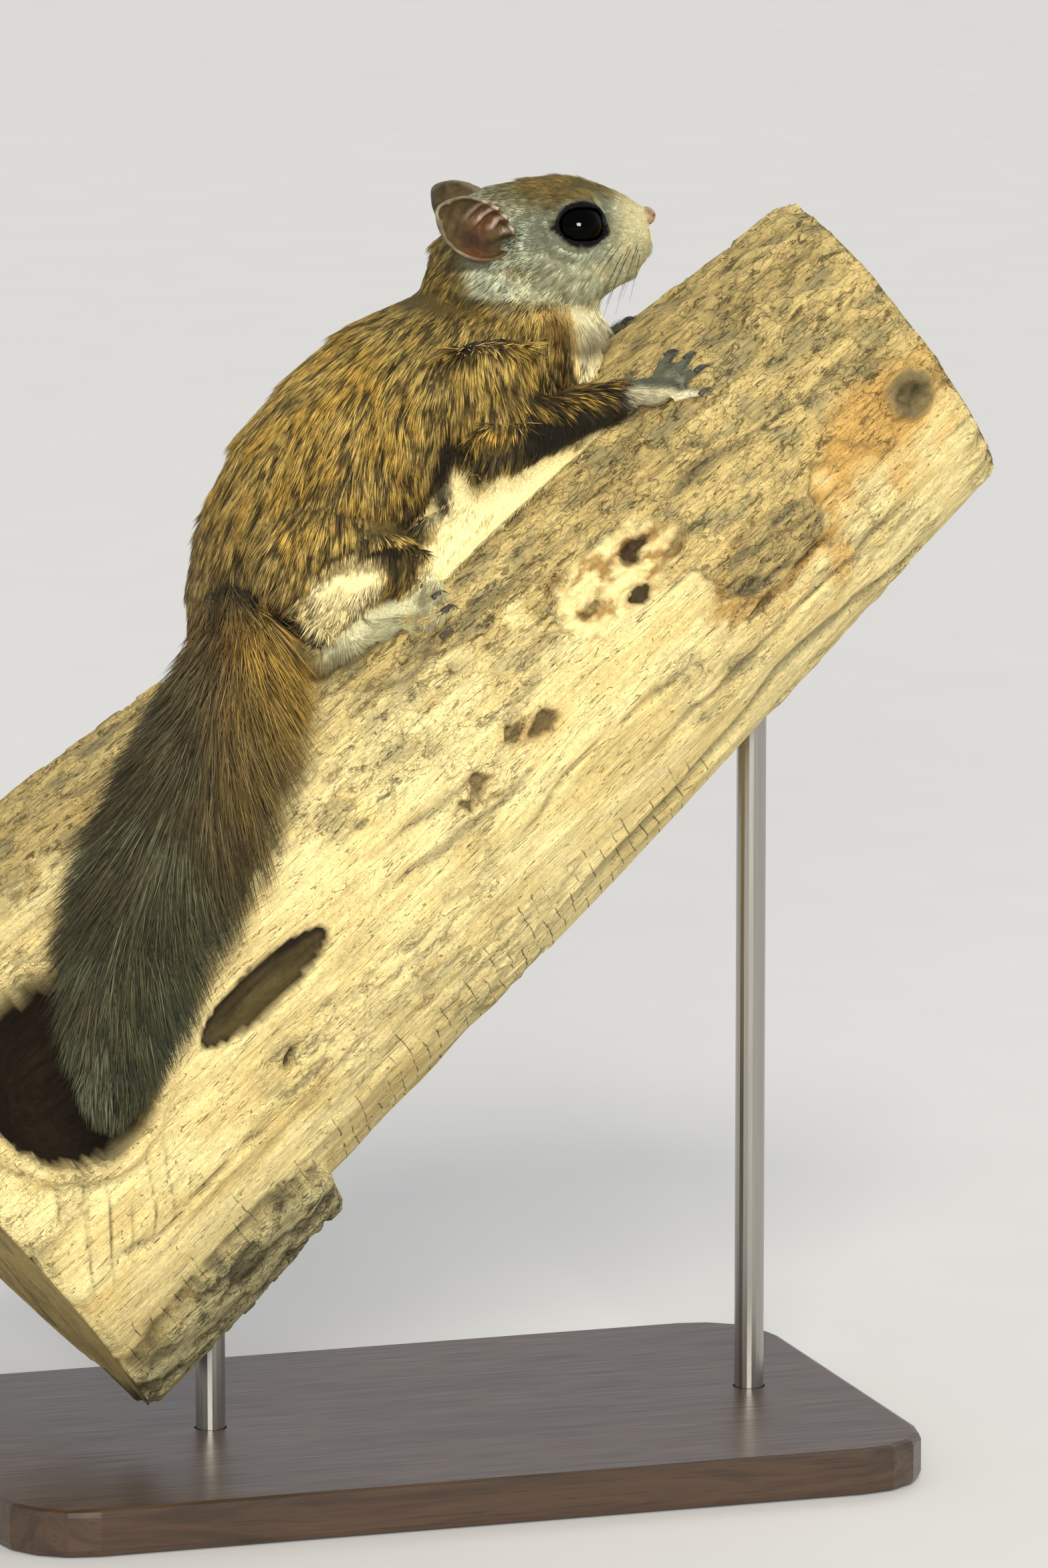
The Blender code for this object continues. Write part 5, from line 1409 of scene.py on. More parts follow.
def weathered(along, turn):
    """The wood's relief, its colour, and how rough, cross-checked and smooth it is, at places on the bark."""
    angle = np.radians(turn)
    radius = BARK_RADIUS - BARK_TAPER * along
    grid = np.stack((along, radius * np.sin(angle), radius * np.cos(angle)), axis=-1)
    wobble = layered(grid / (30.0, 11.0, 11.0), 5) - 0.5
    warped = grid + np.stack((wobble * 9.0, wobble * 3.4, wobble * -3.4), axis=-1)
    ridges = layered(warped / (48.0, 4.4, 4.4), 11)
    fine = layered(warped / (8.0, 1.5, 1.5), 13, 2)
    patch = layered(grid / (24.0, 15.0, 15.0), 21)
    tint = layered(grid / (15.0, 6.0, 6.0), 23)
    top = step(80.0, 45.0, np.abs(turn - 8.0))
    rough = step(0.38, 0.56, patch + 0.24 * top - 0.1)
    flakes = layered(warped / (6.0, 2.8, 2.8), 51, 2)
    relief = 1.5 * (ridges - 0.5) + (0.35 + 0.55 * rough) * (fine - 0.5)
    relief += 0.75 * rough * (step(0.44, 0.56, flakes) - 0.5)
    colour = mixed(np.broadcast_to(STRAW, grid.shape), PALE_WOOD, step(0.5, 0.75, tint) * 0.7)
    colour = mixed(colour, BUFF_WOOD, step(0.5, 0.2, 0.6 * tint + 0.4 * ridges) * 0.75)
    colour = mixed(colour, GREY_WOOD, rough * step(0.62, 0.36, 0.6 * flakes + 0.4 * fine) * 0.8)
    colour = mixed(colour, TAN, step(0.6, 0.8, layered(grid / (24.0, 8.0, 8.0), 61)) * 0.45)
    past_edge = turn - np.interp(along, *zip(*OUTER_EDGE))
    past_edge = past_edge + 26.0 * (layered(grid / (7.0, 4.0, 4.0), 63) - 0.5)
    outer = step(1.5, -1.5, past_edge)
    bare = (1.0 - outer) * step(175.0, 150.0, turn)
    cracked = oval_gap(along, turn, *CRACK_NET) + 0.8 * (layered(grid / 6.0, 64) - 0.5)
    cracked = step(1.25, 0.8, cracked)
    rough = np.maximum(rough * (1.0 - 0.4 * bare), np.maximum(outer, cracked) * 0.8)
    relief += 0.55 * np.maximum(outer, cracked) * (step(0.44, 0.56, flakes) - 0.5)
    colour = mixed(colour, GREY_WOOD * 0.8, cracked * step(0.56, 0.4, flakes) * 0.7)
    colour = mixed(colour, OUTER_WOOD * (0.6 + 0.9 * tint[..., None]), outer * 0.7)
    colour = mixed(colour, GREY_WOOD, outer * step(0.45, 0.3, flakes) * 0.6)
    colour = mixed(colour, PALE_WOOD, bare * (0.3 + 0.5 * step(0.35, 0.6, tint)))
    orange = step(20.0, 34.0, along) * step(30.0, 14.0, past_edge) * bare
    orange = orange * step(0.3, 0.6, layered(grid / 7.0, 65))
    colour = mixed(colour, TAN * 1.15, orange * 0.7)
    # a dark line painted at the foot of the outer layer's raised edge, as its shadow
    ledge_shadow = bump(past_edge, 1.4, 2.4) * step(4.0, 14.0, along)
    relief += 0.9 * outer * step(0.0, 14.0, along)
    colour = mixed(colour, CRACK * 2.5, ledge_shadow * 0.75)
    checked = turn + 40.0 * (layered(grid / (2.6, 9.0, 9.0), 69) - 0.5)
    checked = step(128.0, 133.0, checked) * step(172.0, 160.0, turn)
    checked *= step(12.0, -20.0, along)
    slanted = (along + 0.594 * turn + 4.0 * noise(grid / (10.0, 30.0, 30.0), 68)) / 6.3
    long_lines = bump(np.abs(slanted - np.round(slanted)) * 6.3, 0.0, 0.6) * step(-146.0, -154.0, along)
    long_lines *= step(84.0, 88.0, turn) * step(118.0, 106.0, turn) * step(0.35, 0.5, noise(grid / 9.0, 66))
    relief -= 0.4 * long_lines
    colour = mixed(colour, CRACK * 2.0, long_lines * 0.75)

    for start, end, groove_turn, depth in GROOVES:
        off = np.radians(turn - groove_turn - 14.0 * wobble) * radius
        share = step(start, start + 14.0, along) * step(end, end - 14.0, along)
        line = bump(off, 0.0, 1.5) * share
        relief -= depth * line * (0.5 + ridges)
        relief += 0.5 * depth * bump(off, 2.6, 2.2) * share
        colour = mixed(colour, CRACK * 2.2, line**2 * 0.65)

    shelf = turn - np.interp(along, *zip(*SHELF)) - 8.0 * wobble
    shelf_share = step(-62.0, -25.0, along)
    sunk = step(-0.8, 1.4, shelf) * step(9.5, 6.0, shelf) * shelf_share
    relief -= 1.9 * sunk * (0.7 + 0.6 * ridges)
    # the sunk band painted darker grey, and a dark line painted along its upper wall, as shade in the recess
    colour = mixed(colour, GREY_WOOD * 0.8, sunk * 0.7)
    colour = mixed(colour, CRACK, bump(shelf, 0.6, 1.6) * shelf_share * 0.85)

    past_slab = turn - np.interp(along, *zip(*SLAB_EDGE)) + 7.0 * (flakes - 0.5)
    slab = step(-0.6, 1.6, past_slab) * step(186.0, 176.0, turn)
    slab = slab * step(-124.0, -126.5, along + 4.0 * (fine - 0.5))
    bark = step(0.40, 0.54, layered(warped / (7.5, 2.1, 2.1), 53))
    relief += slab * (3.3 + 1.9 * bark + 0.15 * np.clip(past_slab, 0.0, 12.0))
    checked = checked * (1.0 - slab)
    colour = mixed(colour, mixed(CRACK * 2.4, GREY_WOOD * 1.5, bark), slab * 0.95)
    colour = mixed(colour, CRACK, bump(past_slab, -0.6, 1.8) * step(-124.0, -128.0, along) * 0.85)
    rough = np.maximum(rough, slab)

    stain = oval_gap(along, turn, *STAIN) + 0.5 * (layered(grid / 6.0, 71) - 0.5)
    stain = step(1.35, 0.6, stain)
    colour = mixed(colour, TAN * 1.05, stain * 0.75)
    bitten = oval_gap(along, turn, *BITTEN) + 0.7 * (layered(grid / 3.5, 73) - 0.5)
    bitten = step(1.2, 0.75, bitten)
    relief -= bitten * (0.5 + 1.5 * step(0.4, 0.6, layered(grid / 2.6, 75)))
    colour = mixed(colour, PALE_WOOD * 1.1, bitten * 0.85)
    colour = mixed(colour, TAN * 0.6, bitten * step(0.52, 0.62, layered(grid / (3.4, 2.0, 2.0), 77)) * 0.9)
    lifted = oval_gap(along, turn, *LIFTED) + 0.35 * (layered(grid / 4.0, 79) - 0.5)
    lifted = step(1.1, 0.9, lifted)
    relief += lifted * (1.2 + 0.7 * (flakes - 0.5))
    streaks = layered(warped / (9.0, 1.3, 1.3), 55, 2)
    colour = mixed(colour, mixed(CRACK * 3.0, OUTER_WOOD * 0.95, step(0.3, 0.62, streaks)), lifted * 0.85)
    # painted shadow round the lifted flake, shifted below it: darker patchy tan
    lifted_shadow = step(1.5, 1.05, oval_gap(along, turn, *LIFTED_SHADOW)) * (1.0 - lifted)
    colour = mixed(colour, TAN * 0.75, lifted_shadow * step(0.35, 0.6, fine) * 0.8)
    rough = np.maximum(rough, lifted)
    drift = 4.6 * (layered(grid / 3.1, 81) - 0.5)
    for centre, half_along, half_round, depth in EATEN:
        gap = oval_gap(along + drift, turn - 1.6 * drift, centre, half_along, half_round)
        share = min(1.0, depth / 2.4) ** 2
        relief -= depth * step(1.1, 0.55, gap)
        colour = mixed(colour, TAN * (0.6, 0.5, 0.45), step(1.5, 0.9, gap) * 0.6 * layered(grid / 3.0, 82))
        # the deepest part of each hollow painted near black as shade
        colour = mixed(colour, HOLLOW_SHADE * 2.0, step(0.95, 0.7, gap) * 0.92 * share)

    knot = oval_gap(along, turn, *KNOT) + 0.3 * (layered(grid / 2.5, 83) - 0.5)
    relief += 1.3 * bump(knot, 0.85, 0.4) - 1.3 * step(0.7, 0.3, knot)
    colour = mixed(colour, GREY_WOOD * 0.5, step(1.15, 0.8, knot) * 0.85)
    colour = mixed(colour, CRACK, step(0.7, 0.4, knot) * noise(grid / 1.1, 85))

    smooth = np.maximum(step(1.25, 0.95, knot), bitten)
    for centre, radii, lip in ((KNOT_HOLE, KNOT_HOLE_RADII, 2.8), (SLOT_HOLE, SLOT_HOLE_RADII, 0.7)):
        gap = hole_gap(along, turn, centre, radii)
        rim = bump(gap, 1.0 + 2.2 / radii[1], 3.2 / radii[1])
        near = step(1.0 + 9.0 / radii[1], 1.0, gap)
        upper = step(0.2, -0.9, np.radians(turn - centre[1]) * BARK_RADIUS / radii[1])
        relief = relief * (1.0 - 0.55 * near) + lip * rim * (0.7 + 0.6 * tint) * (1.0 + upper)
        inside = np.sqrt(np.clip(1.0 - gap**2, 0.0, 1.0))
        relief = relief * (1.0 - inside) - radii[2] * inside * (1.0 + 0.15 * (fine - 0.5))
        colour = mixed(colour, mixed(PALE_WOOD, TAN, 0.25), rim * 0.75)
        # the inside of each hole painted near black as shade
        colour = mixed(colour, HOLLOW_SHADE * 2.0, step(1.01, 0.985, gap))
        shallow = 1.0 if radii[2] < 10.0 else 0.0
        lit = shallow * step(1.0, 0.9, gap)
        lit = lit * step(-0.9, 0.3, (turn - centre[1]) / 6.5 + 1.2 * (flakes - 0.5))
        colour = mixed(colour, (0.085, 0.066, 0.026) * (0.2 + 1.6 * fine[..., None]), lit * 0.8)
        smooth = np.maximum(smooth, step(1.02, 0.98, gap))
    return relief, colour, np.stack((rough, checked, smooth), axis=-1)


def cut_end(along, turns, inwards):
    """Rings of one sawn end, from its rim to its middle, with their colours."""
    radius = BARK_RADIUS - BARK_TAPER * along
    rings, tones = [], []
    round_end = np.stack((np.sin(np.radians(turns)), np.cos(np.radians(turns))), axis=-1)
    checks = step(0.60, 0.72, layered(round_end[:, [0, 1, 1]] * 9.0, 89))
    for inset in np.append(np.linspace(0.975, 0.1, 20), 0.03):
        year = 0.5 + 0.5 * math.sin(inset * 95.0 + 3.0 * math.sin(inset * 7.0))
        split = checks * step(0.25, 0.6, np.full(len(turns), inset))
        sunk = 0.16 * year + 0.9 * split
        height = bark_lumps(along, turns) - radius * (1.0 - inset)
        ring = on_bark(along + inwards * sunk, turns, height)
        mottled = layered(ring / 6.0, 91)
        tone = mixed(np.broadcast_to(STRAW * 0.8, ring.shape), BUFF_WOOD * 0.85, 0.25 + 0.5 * year * mottled)
        tone = mixed(tone, GREY_WOOD * 0.8, step(0.5, 0.75, mottled) * 0.6)
        tones.append(mixed(tone, CRACK, split * 0.85))
        rings.append(ring)
    return np.array(rings), np.array(tones)


def build_perch():
    """The branch with its ridges, cracks, hollows and holes, and its sawn ends."""
    near = np.arange(-20.0, 182.0, math.degrees(BARK_STEP / BARK_RADIUS))
    far = np.arange(182.0, 340.0, math.degrees(UNDERSIDE_STEP / BARK_RADIUS))
    turns = np.concatenate((near, far))
    rows = int((PERCH_HIGH_END - PERCH_LOW_END) / BARK_STEP) + 1
    share = np.linspace(0.0, 1.0, rows)[:, None]
    turn = np.broadcast_to(turns, (rows, len(turns)))
    along = PERCH_LOW_END + (PERCH_HIGH_END - PERCH_LOW_END) * share
    along = along + 3.0 * np.cos(np.radians(turn + 40.0)) * (2.0 * share - 1.0) ** 5
    along, turn = drawn_to_rims(along, turn)
    relief, colour, wear = weathered(along, turn)
    rounding = 1.2 * (step(0.012, 0.0, share) + step(0.988, 1.0, share))
    side = on_bark(along, turn, bark_lumps(along, turn) + relief - rounding)
    high, high_tones = cut_end(along[0], turns, 1.0)
    low, low_tones = cut_end(along[-1], turns, -1.0)
    rings = np.concatenate((high[::-1], side, low))
    tones = np.concatenate((high_tones[::-1], colour, low_tones)).reshape(-1, 3)
    plain = np.broadcast_to(np.array((0.0, 0.0, 0.7)), high.shape)
    perch = capped_tube("branch", rings)
    coloured(perch, tones, "wood")
    coloured(perch, np.concatenate((plain, wear, plain)).reshape(-1, 3), "wear")
    return perch


# The small parts of the head and feet


def build_eye(name, side):
    """An eyeball that bulges a little at the cornea."""
    out, ahead, above = eye_frame(side)
    rings = []
    for tilt in np.linspace(2.0, 178.0, 41):
        bulge = 1.0 + CORNEA_BULGE * float(step(48.0, 0.0, tilt))
        cos_tilt, sin_tilt = cos_sin(tilt)
        angles = np.radians(np.arange(56) * 360.0 / 56)
        ring = out * cos_tilt + (np.cos(angles)[:, None] * ahead + np.sin(angles)[:, None] * above) * sin_tilt
        rings.append(eye_centre(side) + ring * EYE_RADIUS * bulge)
    eye = capped_tube(name, np.array(rings))
    eye.data.shade_smooth()
    return eye


def eye_finish(name):
    """Glossy and almost black."""
    finish = Finish(name, Roughness=0.03, Specular_IOR_Level=0.055)
    haze = finish.noise(finish.coordinates(), 0.35, 2.0)
    finish.paint(finish.blend(haze, (0.0, 0.0, 0.0), (0.0001, 0.0001, 0.0001)))
    return finish


def build_ear(name, side):
    """The cup of the ear: an oval leaf rolled into a bowl, with folds at its front and a thin rim."""
    base, axis, mouth, across = ear_frame(side)
    rows, columns = 52, 64
    share = np.linspace(-0.07, 1.0, rows)[:, None]
    over = np.linspace(-1.0, 1.0, columns)[None, :] * np.ones((rows, 1))
    front = over * -side
    wrap = np.radians((104.0 - 40.0 * share) * over)
    curl = 0.7 * step(0.80, 1.0, np.abs(over)) + 0.5 * step(0.9, 1.0, share)
    folds = 0.85 * np.sin(share * 40.0 + 3.0 * over) * step(0.62, 0.25, share) * step(0.0, 0.45, front)
    antitragus = 2.2 * bump(share, 0.10, 0.16) * bump(front, 0.25, 0.5)
    ribs = 0.18 * np.sin(share * 34.0 - 3.0 * over**2) * step(0.4, 0.55, share) * step(0.95, 0.8, share)
    inward = np.cos(wrap) * ear_bowl(share) - curl - folds - ribs - antitragus
    points = base + axis * (EAR_LENGTH * (share - 0.08 * over**2 * share))[..., None]
    points = points + across * (np.sin(wrap) * ear_width(share))[..., None]
    points = points + mouth * (ear_bend(share) - inward)[..., None]
    row, column = np.meshgrid(np.arange(rows - 1), np.arange(columns - 1), indexing="ij")
    first = row * columns + column
    quads = np.stack((first, first + 1, first + columns + 1, first + columns), axis=-1).reshape(-1, 4)
    ear = new_object(name, points.reshape(-1, 3), quads)
    applied(ear, "SOLIDIFY", thickness=EAR_WALL * MM, offset=0.0)
    with all_edited(ear):
        bpy.ops.mesh.normals_make_consistent(inside=False)
    applied(ear, "SMOOTH", factor=0.5, iterations=2)
    ear.data.shade_smooth()
    local = points_of(ear) - base
    high = (local @ axis) / EAR_LENGTH
    deep = (local @ mouth) / EAR_DEPTH
    fore = (local @ across) * -side / EAR_HALF_WIDTH
    rim = np.hypot((high - 0.47) / 0.53, fore)
    tone = np.tile((0.095, 0.066, 0.028), (len(local), 1))
    tone = mixed(tone, (0.15, 0.055, 0.024), bump(high, 0.26, 0.28) * 0.7)
    # painted shade deep in the cup
    cup_shade = step(-0.35, -0.95, deep) * step(0.75, 0.35, high) * step(0.3, -0.2, fore)
    tone = mixed(tone, (0.030, 0.018, 0.010), cup_shade)
    # painted highlight on the crests of the folds
    fold_highlight = step(0.1, 0.9, np.sin(high * 40.0 + 3.0 * fore)) * step(0.62, 0.3, high) * step(0.15, 0.5, fore)
    tone = mixed(tone, (0.62, 0.49, 0.38), fold_highlight * 0.7)
    outer = step(0.15, -0.25, normals_of(ear) @ mouth)
    mottled = 0.4 + 1.2 * noise(points_of(ear) / 1.3, 91)[:, None]
    tone = mixed(tone, np.array((0.060, 0.043, 0.017)) * mottled, outer * 0.95)
    edge = step(0.88, 0.99, rim) * step(0.2, 0.5, high) * 0.5 * (1.0 - 0.6 * outer)
    tone = mixed(tone, (0.42, 0.36, 0.22), edge)
    coloured(ear, tone)
    return ear


def ear_finish():
    finish = Finish("ear_skin", Roughness=0.45, Specular_IOR_Level=0.2)
    veins = finish.noise(finish.coordinates(), 0.7, 4.0, 0.6)
    pores = finish.noise(finish.coordinates(), 4.0, 2.0)
    finish.paint(finish.shaded("coat", finish.between(veins, 0.35, 0.65) * 0.35 + 0.78))
    finish.bumped(veins * 0.6 + pores * 0.4, 0.25, 0.6)
    return finish


def build_nose():
    """The bare pad with its two nostrils and the split of the lip."""
    centre = np.array((21.2, 0.0, 2.8))
    angles = np.radians(np.arange(40) * 9.0)
    rings = []
    for tilt in np.linspace(3.0, 177.0, 33):
        cos_tilt, sin_tilt = cos_sin(tilt)
        across = np.cos(angles) * sin_tilt * 2.5
        above = np.sin(angles) * sin_tilt * 2.0
        rings.append(centre + np.stack((np.full(40, cos_tilt * 2.1), across, above), axis=-1))
    points = np.array(rings)
    for side in (-1.0, 1.0):
        across = points[..., 1] - side * (1.25 + 0.25 * (points[..., 2] - 2.8))
        gap = np.hypot(across / 0.62, (points[..., 2] - 2.8) / 0.5)
        points[..., 0] -= 1.3 * step(1.25, 0.5, gap) * (points[..., 0] > 21.0)
    split = bump(points[..., 1], 0.0, 0.32) * step(3.6, 2.4, points[..., 2])
    points[..., 0] -= 0.35 * split
    nose = capped_tube("nose_pad", HEAD_CENTRE + points @ HEAD_AXES)
    nose.data.shade_smooth()
    return nose


def nose_finish():
    finish = Finish("nose_skin", Roughness=0.38)
    grain = finish.noise(finish.coordinates(), 3.2, 2.0)
    tint = finish.noise(finish.coordinates(), 0.6, 3.0)
    finish.paint(finish.blend(finish.between(tint, 0.35, 0.65), (0.40, 0.27, 0.15), (0.20, 0.13, 0.075)))
    finish.bumped(grain, 0.12, 0.7)
    return finish


def curved_tube(points, radii, sides):
    """Rings of a thin tube through smooth points."""
    points = np.array(points)
    tangent = unit(np.gradient(points, axis=0))
    hint = np.array((0.13, 0.31, 0.94))
    right = unit(np.cross(tangent, hint))
    return tube_rings(points, right, np.cross(right, tangent), radii, radii, sides)


def build_whiskers(draw):
    """Stiff dark hairs from the muzzle pads, drooping at their ends."""
    tubes = []
    for side in SIDES.values():
        for row, i in [(row, i) for row in range(3) for i in range(4)]:
            forward, left, up = 19.5 - 1.2 * i, 4.6 + 0.6 * i, -0.4 - 1.6 * row + 0.1 * i
            length = (13.0 + 3.0 * i) * draw.uniform(0.85, 1.1)
            droop = -0.55 - 0.22 * row + 0.10 * draw.normal()
            way = unit(np.array((-0.30 - 0.18 * i, side * (0.62 + 0.05 * i), droop))) @ HEAD_AXES
            line = [head_point(forward, side * (left - 0.6), up)]
            for _ in range(9):
                way = unit(way + np.array((-0.03, 0.0, -0.09)) + 0.012 * draw.normal(0, 1, 3))
                line.append(line[-1] + way * length / 9.0)
            tubes.append(curved_tube(line, np.linspace(0.085, 0.02, 10), 3))
    return tubes


def build_claws():
    """The hooked claws of the four paws."""
    hand_tips = ((44.0, 27.0, 0.9), (45.5, 32.6, 1.0), (45.0, 38.6, 1.0), (42.5, 45.5, 0.9))
    foot_tips = (
        (-32.0, 31.5, 0.82), (-30.0, 36.8, 1.0), (-29.5, 41.6, 1.0), (-30.2, 46.4, 1.0), (-33.0, 51.5, 0.84),
    )
    foot_knuckles = (-41.0, -39.0, -38.5, -39.0, -41.5)
    tubes = []
    for letter, side in SIDES.items():
        ahead = LEFT_HAND_AHEAD if letter == "l" else 0.0
        tips = []
        for along, turn, share in hand_tips:
            tips.append((36.5 + ahead + (along + ahead - 36.5 - ahead) * share, turn))
        toes = zip(foot_tips, foot_knuckles)
        tips += [(knuckle + (along - knuckle) * share, turn) for (along, turn, share), knuckle in toes]
        for along, turn in tips:
            shares = np.linspace(0.0, 1.0, 8)
            reach = along - 1.3 + 4.3 * shares - 0.9 * shares**2
            height = 2.6 + 0.9 * np.sin(shares * 2.2) - 3.0 * shares**2.2
            line = on_bark(reach, np.full(8, -side * turn), height)
            tubes.append(curved_tube(line, 0.62 * (1.0 - shares) ** 0.7 + 0.05, 8))
    return tubes


def many_tubes(name, tubes):
    """Several tubes in one mesh, each closed at its ends."""
    pieces = [capped_tube(f"{name}_{i}", rings) for i, rings in enumerate(tubes)]
    return joined(pieces, name)


def plain_finish(name, first, second, scale, roughness, bump_depth):
    """Two tones that run into each other, with a fine grain."""
    finish = Finish(name, Roughness=roughness)
    tint = finish.noise(finish.coordinates((scale, scale, scale)), 1.0, 3.0)
    finish.paint(finish.blend(finish.between(tint, 0.3, 0.7), first, second))
    finish.bumped(tint, bump_depth, 0.6)
    return finish


WALNUT = (
    (0.0, (0.022, 0.012, 0.007)),
    (0.45, (0.065, 0.035, 0.018)),
    (0.62, (0.035, 0.019, 0.010)),
    (1.0, (0.10, 0.055, 0.028)),
)


def stand_finishes():
    """Oiled dark walnut for the base and brushed steel for the rods."""
    wood = Finish("stand_wood", Roughness=0.38, Coat_Weight=0.25, Coat_Roughness=0.25)
    ring = wood.noise(wood.coordinates((0.012, 0.16, 0.12)), 1.0, 4.0, 0.6, 1.2)
    pores = wood.noise(wood.coordinates((0.05, 1.6, 1.6)), 1.0, 3.0, 0.65)
    grain = wood.node("ValToRGB", {"stops": WALNUT}, {"Fac": ring}, "Color")
    wood.paint(wood.blend(wood.between(pores, 0.52, 0.72) * 0.6, grain, (0.012, 0.007, 0.004)))
    wood.put(wood.shader.inputs["Roughness"], wood.between(pores, 0.3, 0.7) * 0.16 + 0.32)
    wood.bumped(pores, 0.08, 0.5)
    metal = Finish("stand_metal", Roughness=0.3, Metallic=1.0)
    brushed = metal.noise(metal.coordinates((1.5, 1.5, 0.03)), 1.0, 3.0, 0.6)
    metal.paint(metal.blend(brushed, (0.36, 0.34, 0.31), (0.52, 0.50, 0.46)))
    metal.put(metal.shader.inputs["Roughness"], brushed * 0.2 + 0.22)
    metal.bumped(brushed, 0.03, 0.4)
    return wood, metal


def finished(obj, finish, slot_name, *stands_for):
    """Gives a piece its finish and its body, and hides the solids that it stands for; its slot's name is not
    used.
    """
    finish.on(obj)
    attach(obj, "root")
    if stands_for:
        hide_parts(*stands_for)
    return obj


# The animal

skin = build_skin()
skin_points = points_of(skin)
skin_base, skin_tip = markings(skin_points)
under = mixed(skin_base, skin_tip, 0.1 + 0.6 * paw_share(skin_points))
coloured(skin, under)
finished(skin, skin_finish(), "back_fur", *FLESH, *PAWS)

arrays = skin_arrays(skin)
middles = arrays[0].mean(axis=1)
head_part = in_head(middles)
paw_part = paw_share(middles)
tail_part = on_tail_area(middles) * step(0.015, 0.03, TAIL_SHARES[on_tail(middles)[0]])
head_area = (head_part[:, 0] > -19.0) & (head_part[:, 2] + 0.3 * np.minimum(head_part[:, 0], 8.0) > -17.0)
face_area = head_area & (head_part[:, 0] > -3.0)
body_area = ~head_area & (paw_part < 0.5) & (tail_part < 0.5)
fur = coat_finish()

# Each coat: its area, roots to a square millimetre, slot name and seed, then width, roots to a clump, how
# closely a clump holds together, rows to a tuft, contrast between hairs, share of dark hairs, and short dark
# gaps in all
COATS = (
    ("coat_face", face_area, 21.0, "face_fur", 11, (0.25, 22, 0.15, 1, 1.1, 0.28, 0)),
    ("coat_head", head_area & ~face_area, 11.0, "face_fur", 12, (0.32, 14, 0.3, 2, 1.0, 0.2, 0)),
    ("coat_body", body_area, 6.5, "back_fur", 13, (0.5, 8, 0.8, 2, 1.4, 0.03, 460)),
    ("coat_paws", ~head_area & (paw_part >= 0.5), 14.0, "paw", 14, (0.25, 6, 0.15, 1, 0.25, 0.15, 0)),
    ("coat_tail", tail_part > 0.5, 7.5, "tail_fur", 15, (0.42, 30, 0.3, 2, 1.3, 0.22, 0)),
)
for name, area, density, slot_name, seed, settings in COATS:
    draw = np.random.default_rng(seed)
    roots, normals, places = scattered(arrays, area * density, draw)
    kept = ~bare(roots, normals)
    pieces = coat(name, roots[kept], normals[kept], places[kept], draw, settings)
    for number, piece in enumerate(pieces):
        stands_for = TAIL_NODES if name == "coat_tail" and number == 0 else ()
        finished(piece, fur, slot_name, *stands_for)

for letter, side in SIDES.items():
    eye = build_eye("eyeball_" + letter, side)
    finished(eye, eye_finish(eye.name), "eye", "eye_" + letter)
    ear = build_ear("ear_cup_" + letter, side)
    finished(ear, ear_finish(), "ear_skin", "ear_" + letter)
finished(build_nose(), nose_finish(), "ear_skin")
whiskers = many_tubes("whiskers", build_whiskers(np.random.default_rng(5)))
whisker_finish = plain_finish("whisker", (0.012, 0.010, 0.008), (0.03, 0.025, 0.02), 1.0, 0.4, 0.02)
finished(whiskers, whisker_finish, "face_fur")
claws = many_tubes("claws", build_claws())
claw_finish = plain_finish("claw", (0.03, 0.026, 0.022), (0.085, 0.07, 0.055), 0.8, 0.3, 0.03)
finished(claws, claw_finish, "paw")

# The perch and its stand

perch = build_perch()
finished(perch, wood_finish(), "dead_wood", "perch")
stand_wood, stand_metal = stand_finishes()
stand_wood.on(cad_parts["stand_base"])
for rod in ("stand_rod_low", "stand_rod_high"):
    stand_metal.on(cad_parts[rod])

# The floor, the light and the camera

bpy.ops.object.select_all(action="DESELECT")
bpy.ops.mesh.primitive_circle_add(vertices=96, radius=12.0, fill_type="NGON", location=(0.0, 0.0, -0.0002))
floor = bpy.context.object
floor.name = "floor"
floor_finish = Finish("floor", Roughness=0.85, Specular_IOR_Level=0.1)
floor_tone = floor_finish.noise(floor_finish.coordinates((0.02, 0.02, 0.02)), 1.0, 2.0)
floor_finish.paint(floor_finish.blend(floor_tone, (0.60, 0.595, 0.58), (0.63, 0.625, 0.61)))
floor_finish.on(floor)

world = bpy.data.worlds.new("studio")
world.use_nodes = True
world.node_tree.nodes["Background"].inputs["Color"].default_value = (0.92, 0.95, 1.0, 1.0)
world.node_tree.nodes["Background"].inputs["Strength"].default_value = 0.62
bpy.context.scene.world = world

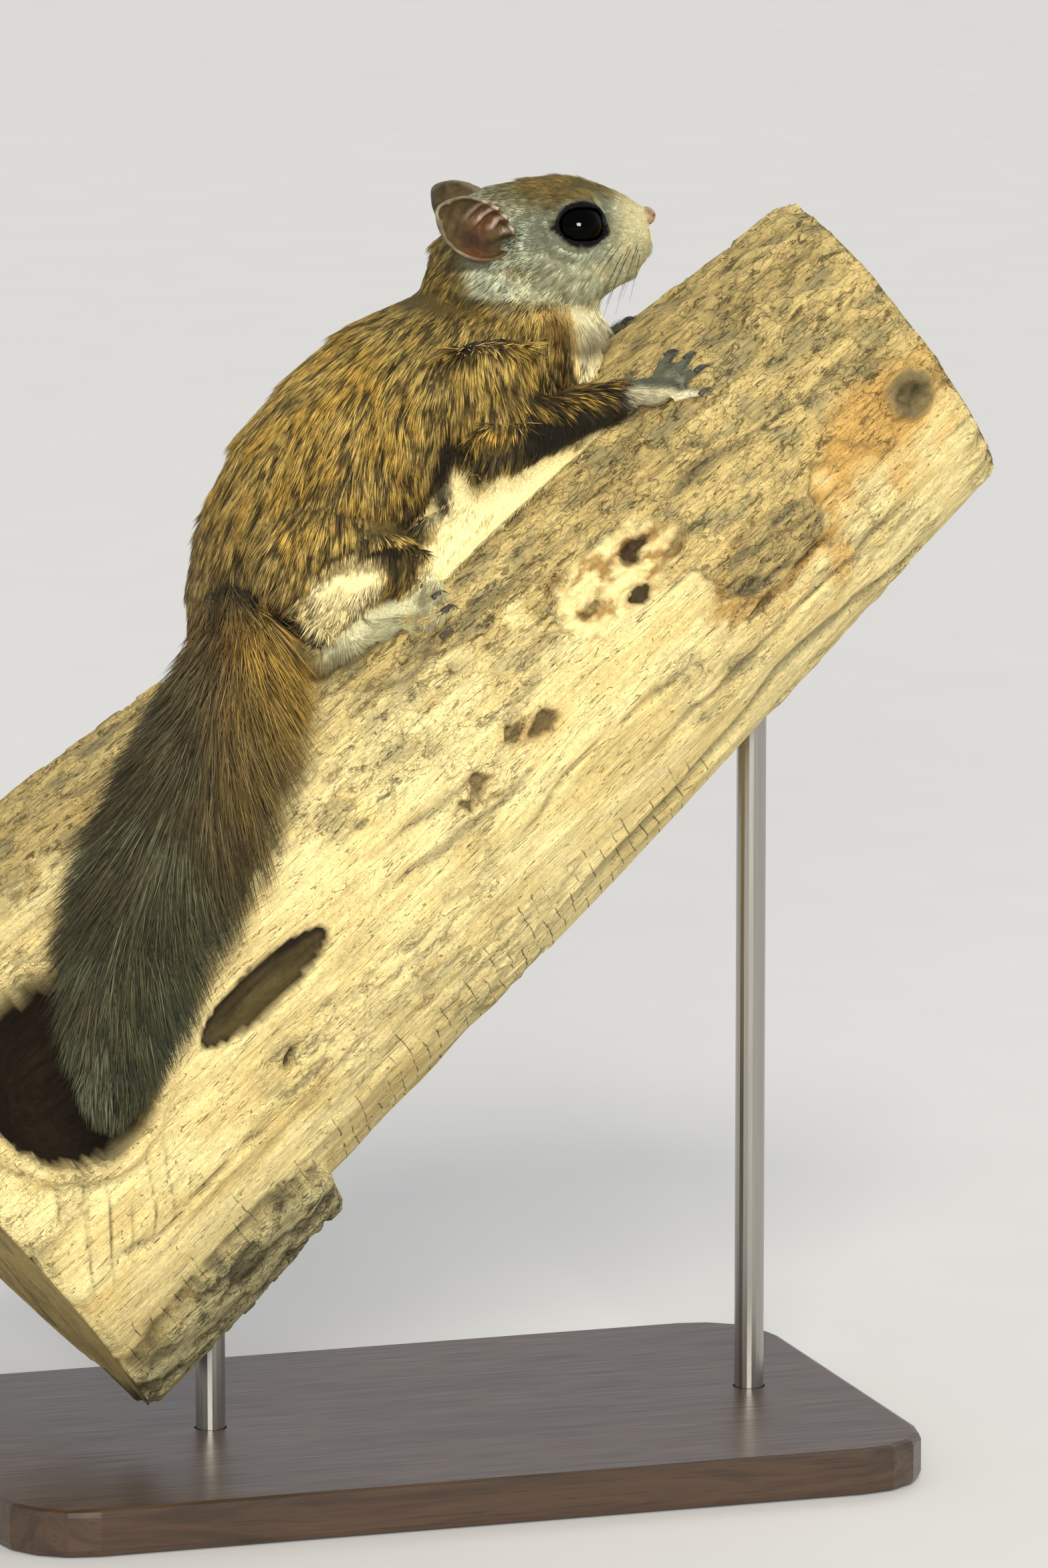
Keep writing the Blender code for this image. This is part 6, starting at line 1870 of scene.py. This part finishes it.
AIM = Vector((0.0, 0.0, 0.165))
LIGHT_DISTANCE = 3.0
# Each light: its name and kind, the way towards it, a sun's angle or a soft box's size, its power and colour
LIGHTS = (
    ("key", "SUN", (-14.0, 38.0), math.radians(16.0), 1.75, (1.0, 0.94, 0.84)),
    ("rim", "SUN", (150.0, 48.0), math.radians(30.0), 0.7, (1.0, 0.98, 0.95)),
    ("fill", "SUN", (48.0, 16.0), math.radians(30.0), 0.8, (1.0, 0.97, 0.92)),
    ("flash", "AREA", (-20.0, 14.0), 0.5, 38.0, (1.0, 0.96, 0.88)),
    ("catch", "AREA", (-12.0, 12.0), 0.8, 330.0, (1.0, 0.93, 0.78)),
)
for name, kind, place, breadth, power, colour in LIGHTS:
    light = added(name, bpy.data.lights.new(name, kind))
    light.data.energy = power
    light.data.color = colour
    back = bearing(*place)
    light.rotation_euler = back.to_track_quat("Z", "Y").to_euler()
    if kind == "SUN":
        light.data.angle = breadth
        light.visible_glossy = False
    else:
        light.data.size = breadth
        light.location = AIM + back * LIGHT_DISTANCE
        light.visible_camera = False

# The catch light is seen in the eyes alone
eyes = bpy.data.collections.new("eyes")
for letter in SIDES:
    eyes.objects.link(bpy.data.objects["eyeball_" + letter])
bpy.data.objects["catch"].light_linking.receiver_collection = eyes

right = Vector(turned(CAMERA_AZIMUTH, 0.0)[0])
back = bearing(CAMERA_AZIMUTH, CAMERA_ELEVATION)
up = back.cross(right)
target = Vector(PERCH_ORIGIN) + right * FRAME_SHIFT[0] + up * FRAME_SHIFT[1]
camera_data = bpy.data.cameras.new("camera")
camera_data.sensor_width = SENSOR_WIDTH
camera_data.lens = SENSOR_WIDTH * CAMERA_DISTANCE / FRAME_HEIGHT
camera_data.clip_end = 50.0
camera = added("camera", camera_data)
camera_place = Matrix.Translation((target + back * CAMERA_DISTANCE) * MM)
camera.matrix_world = camera_place @ Matrix((right, up, back)).transposed().to_4x4()
bpy.context.scene.camera = camera
bpy.context.scene.view_settings.view_transform = "Standard"
bpy.context.scene.view_settings.look = "None"
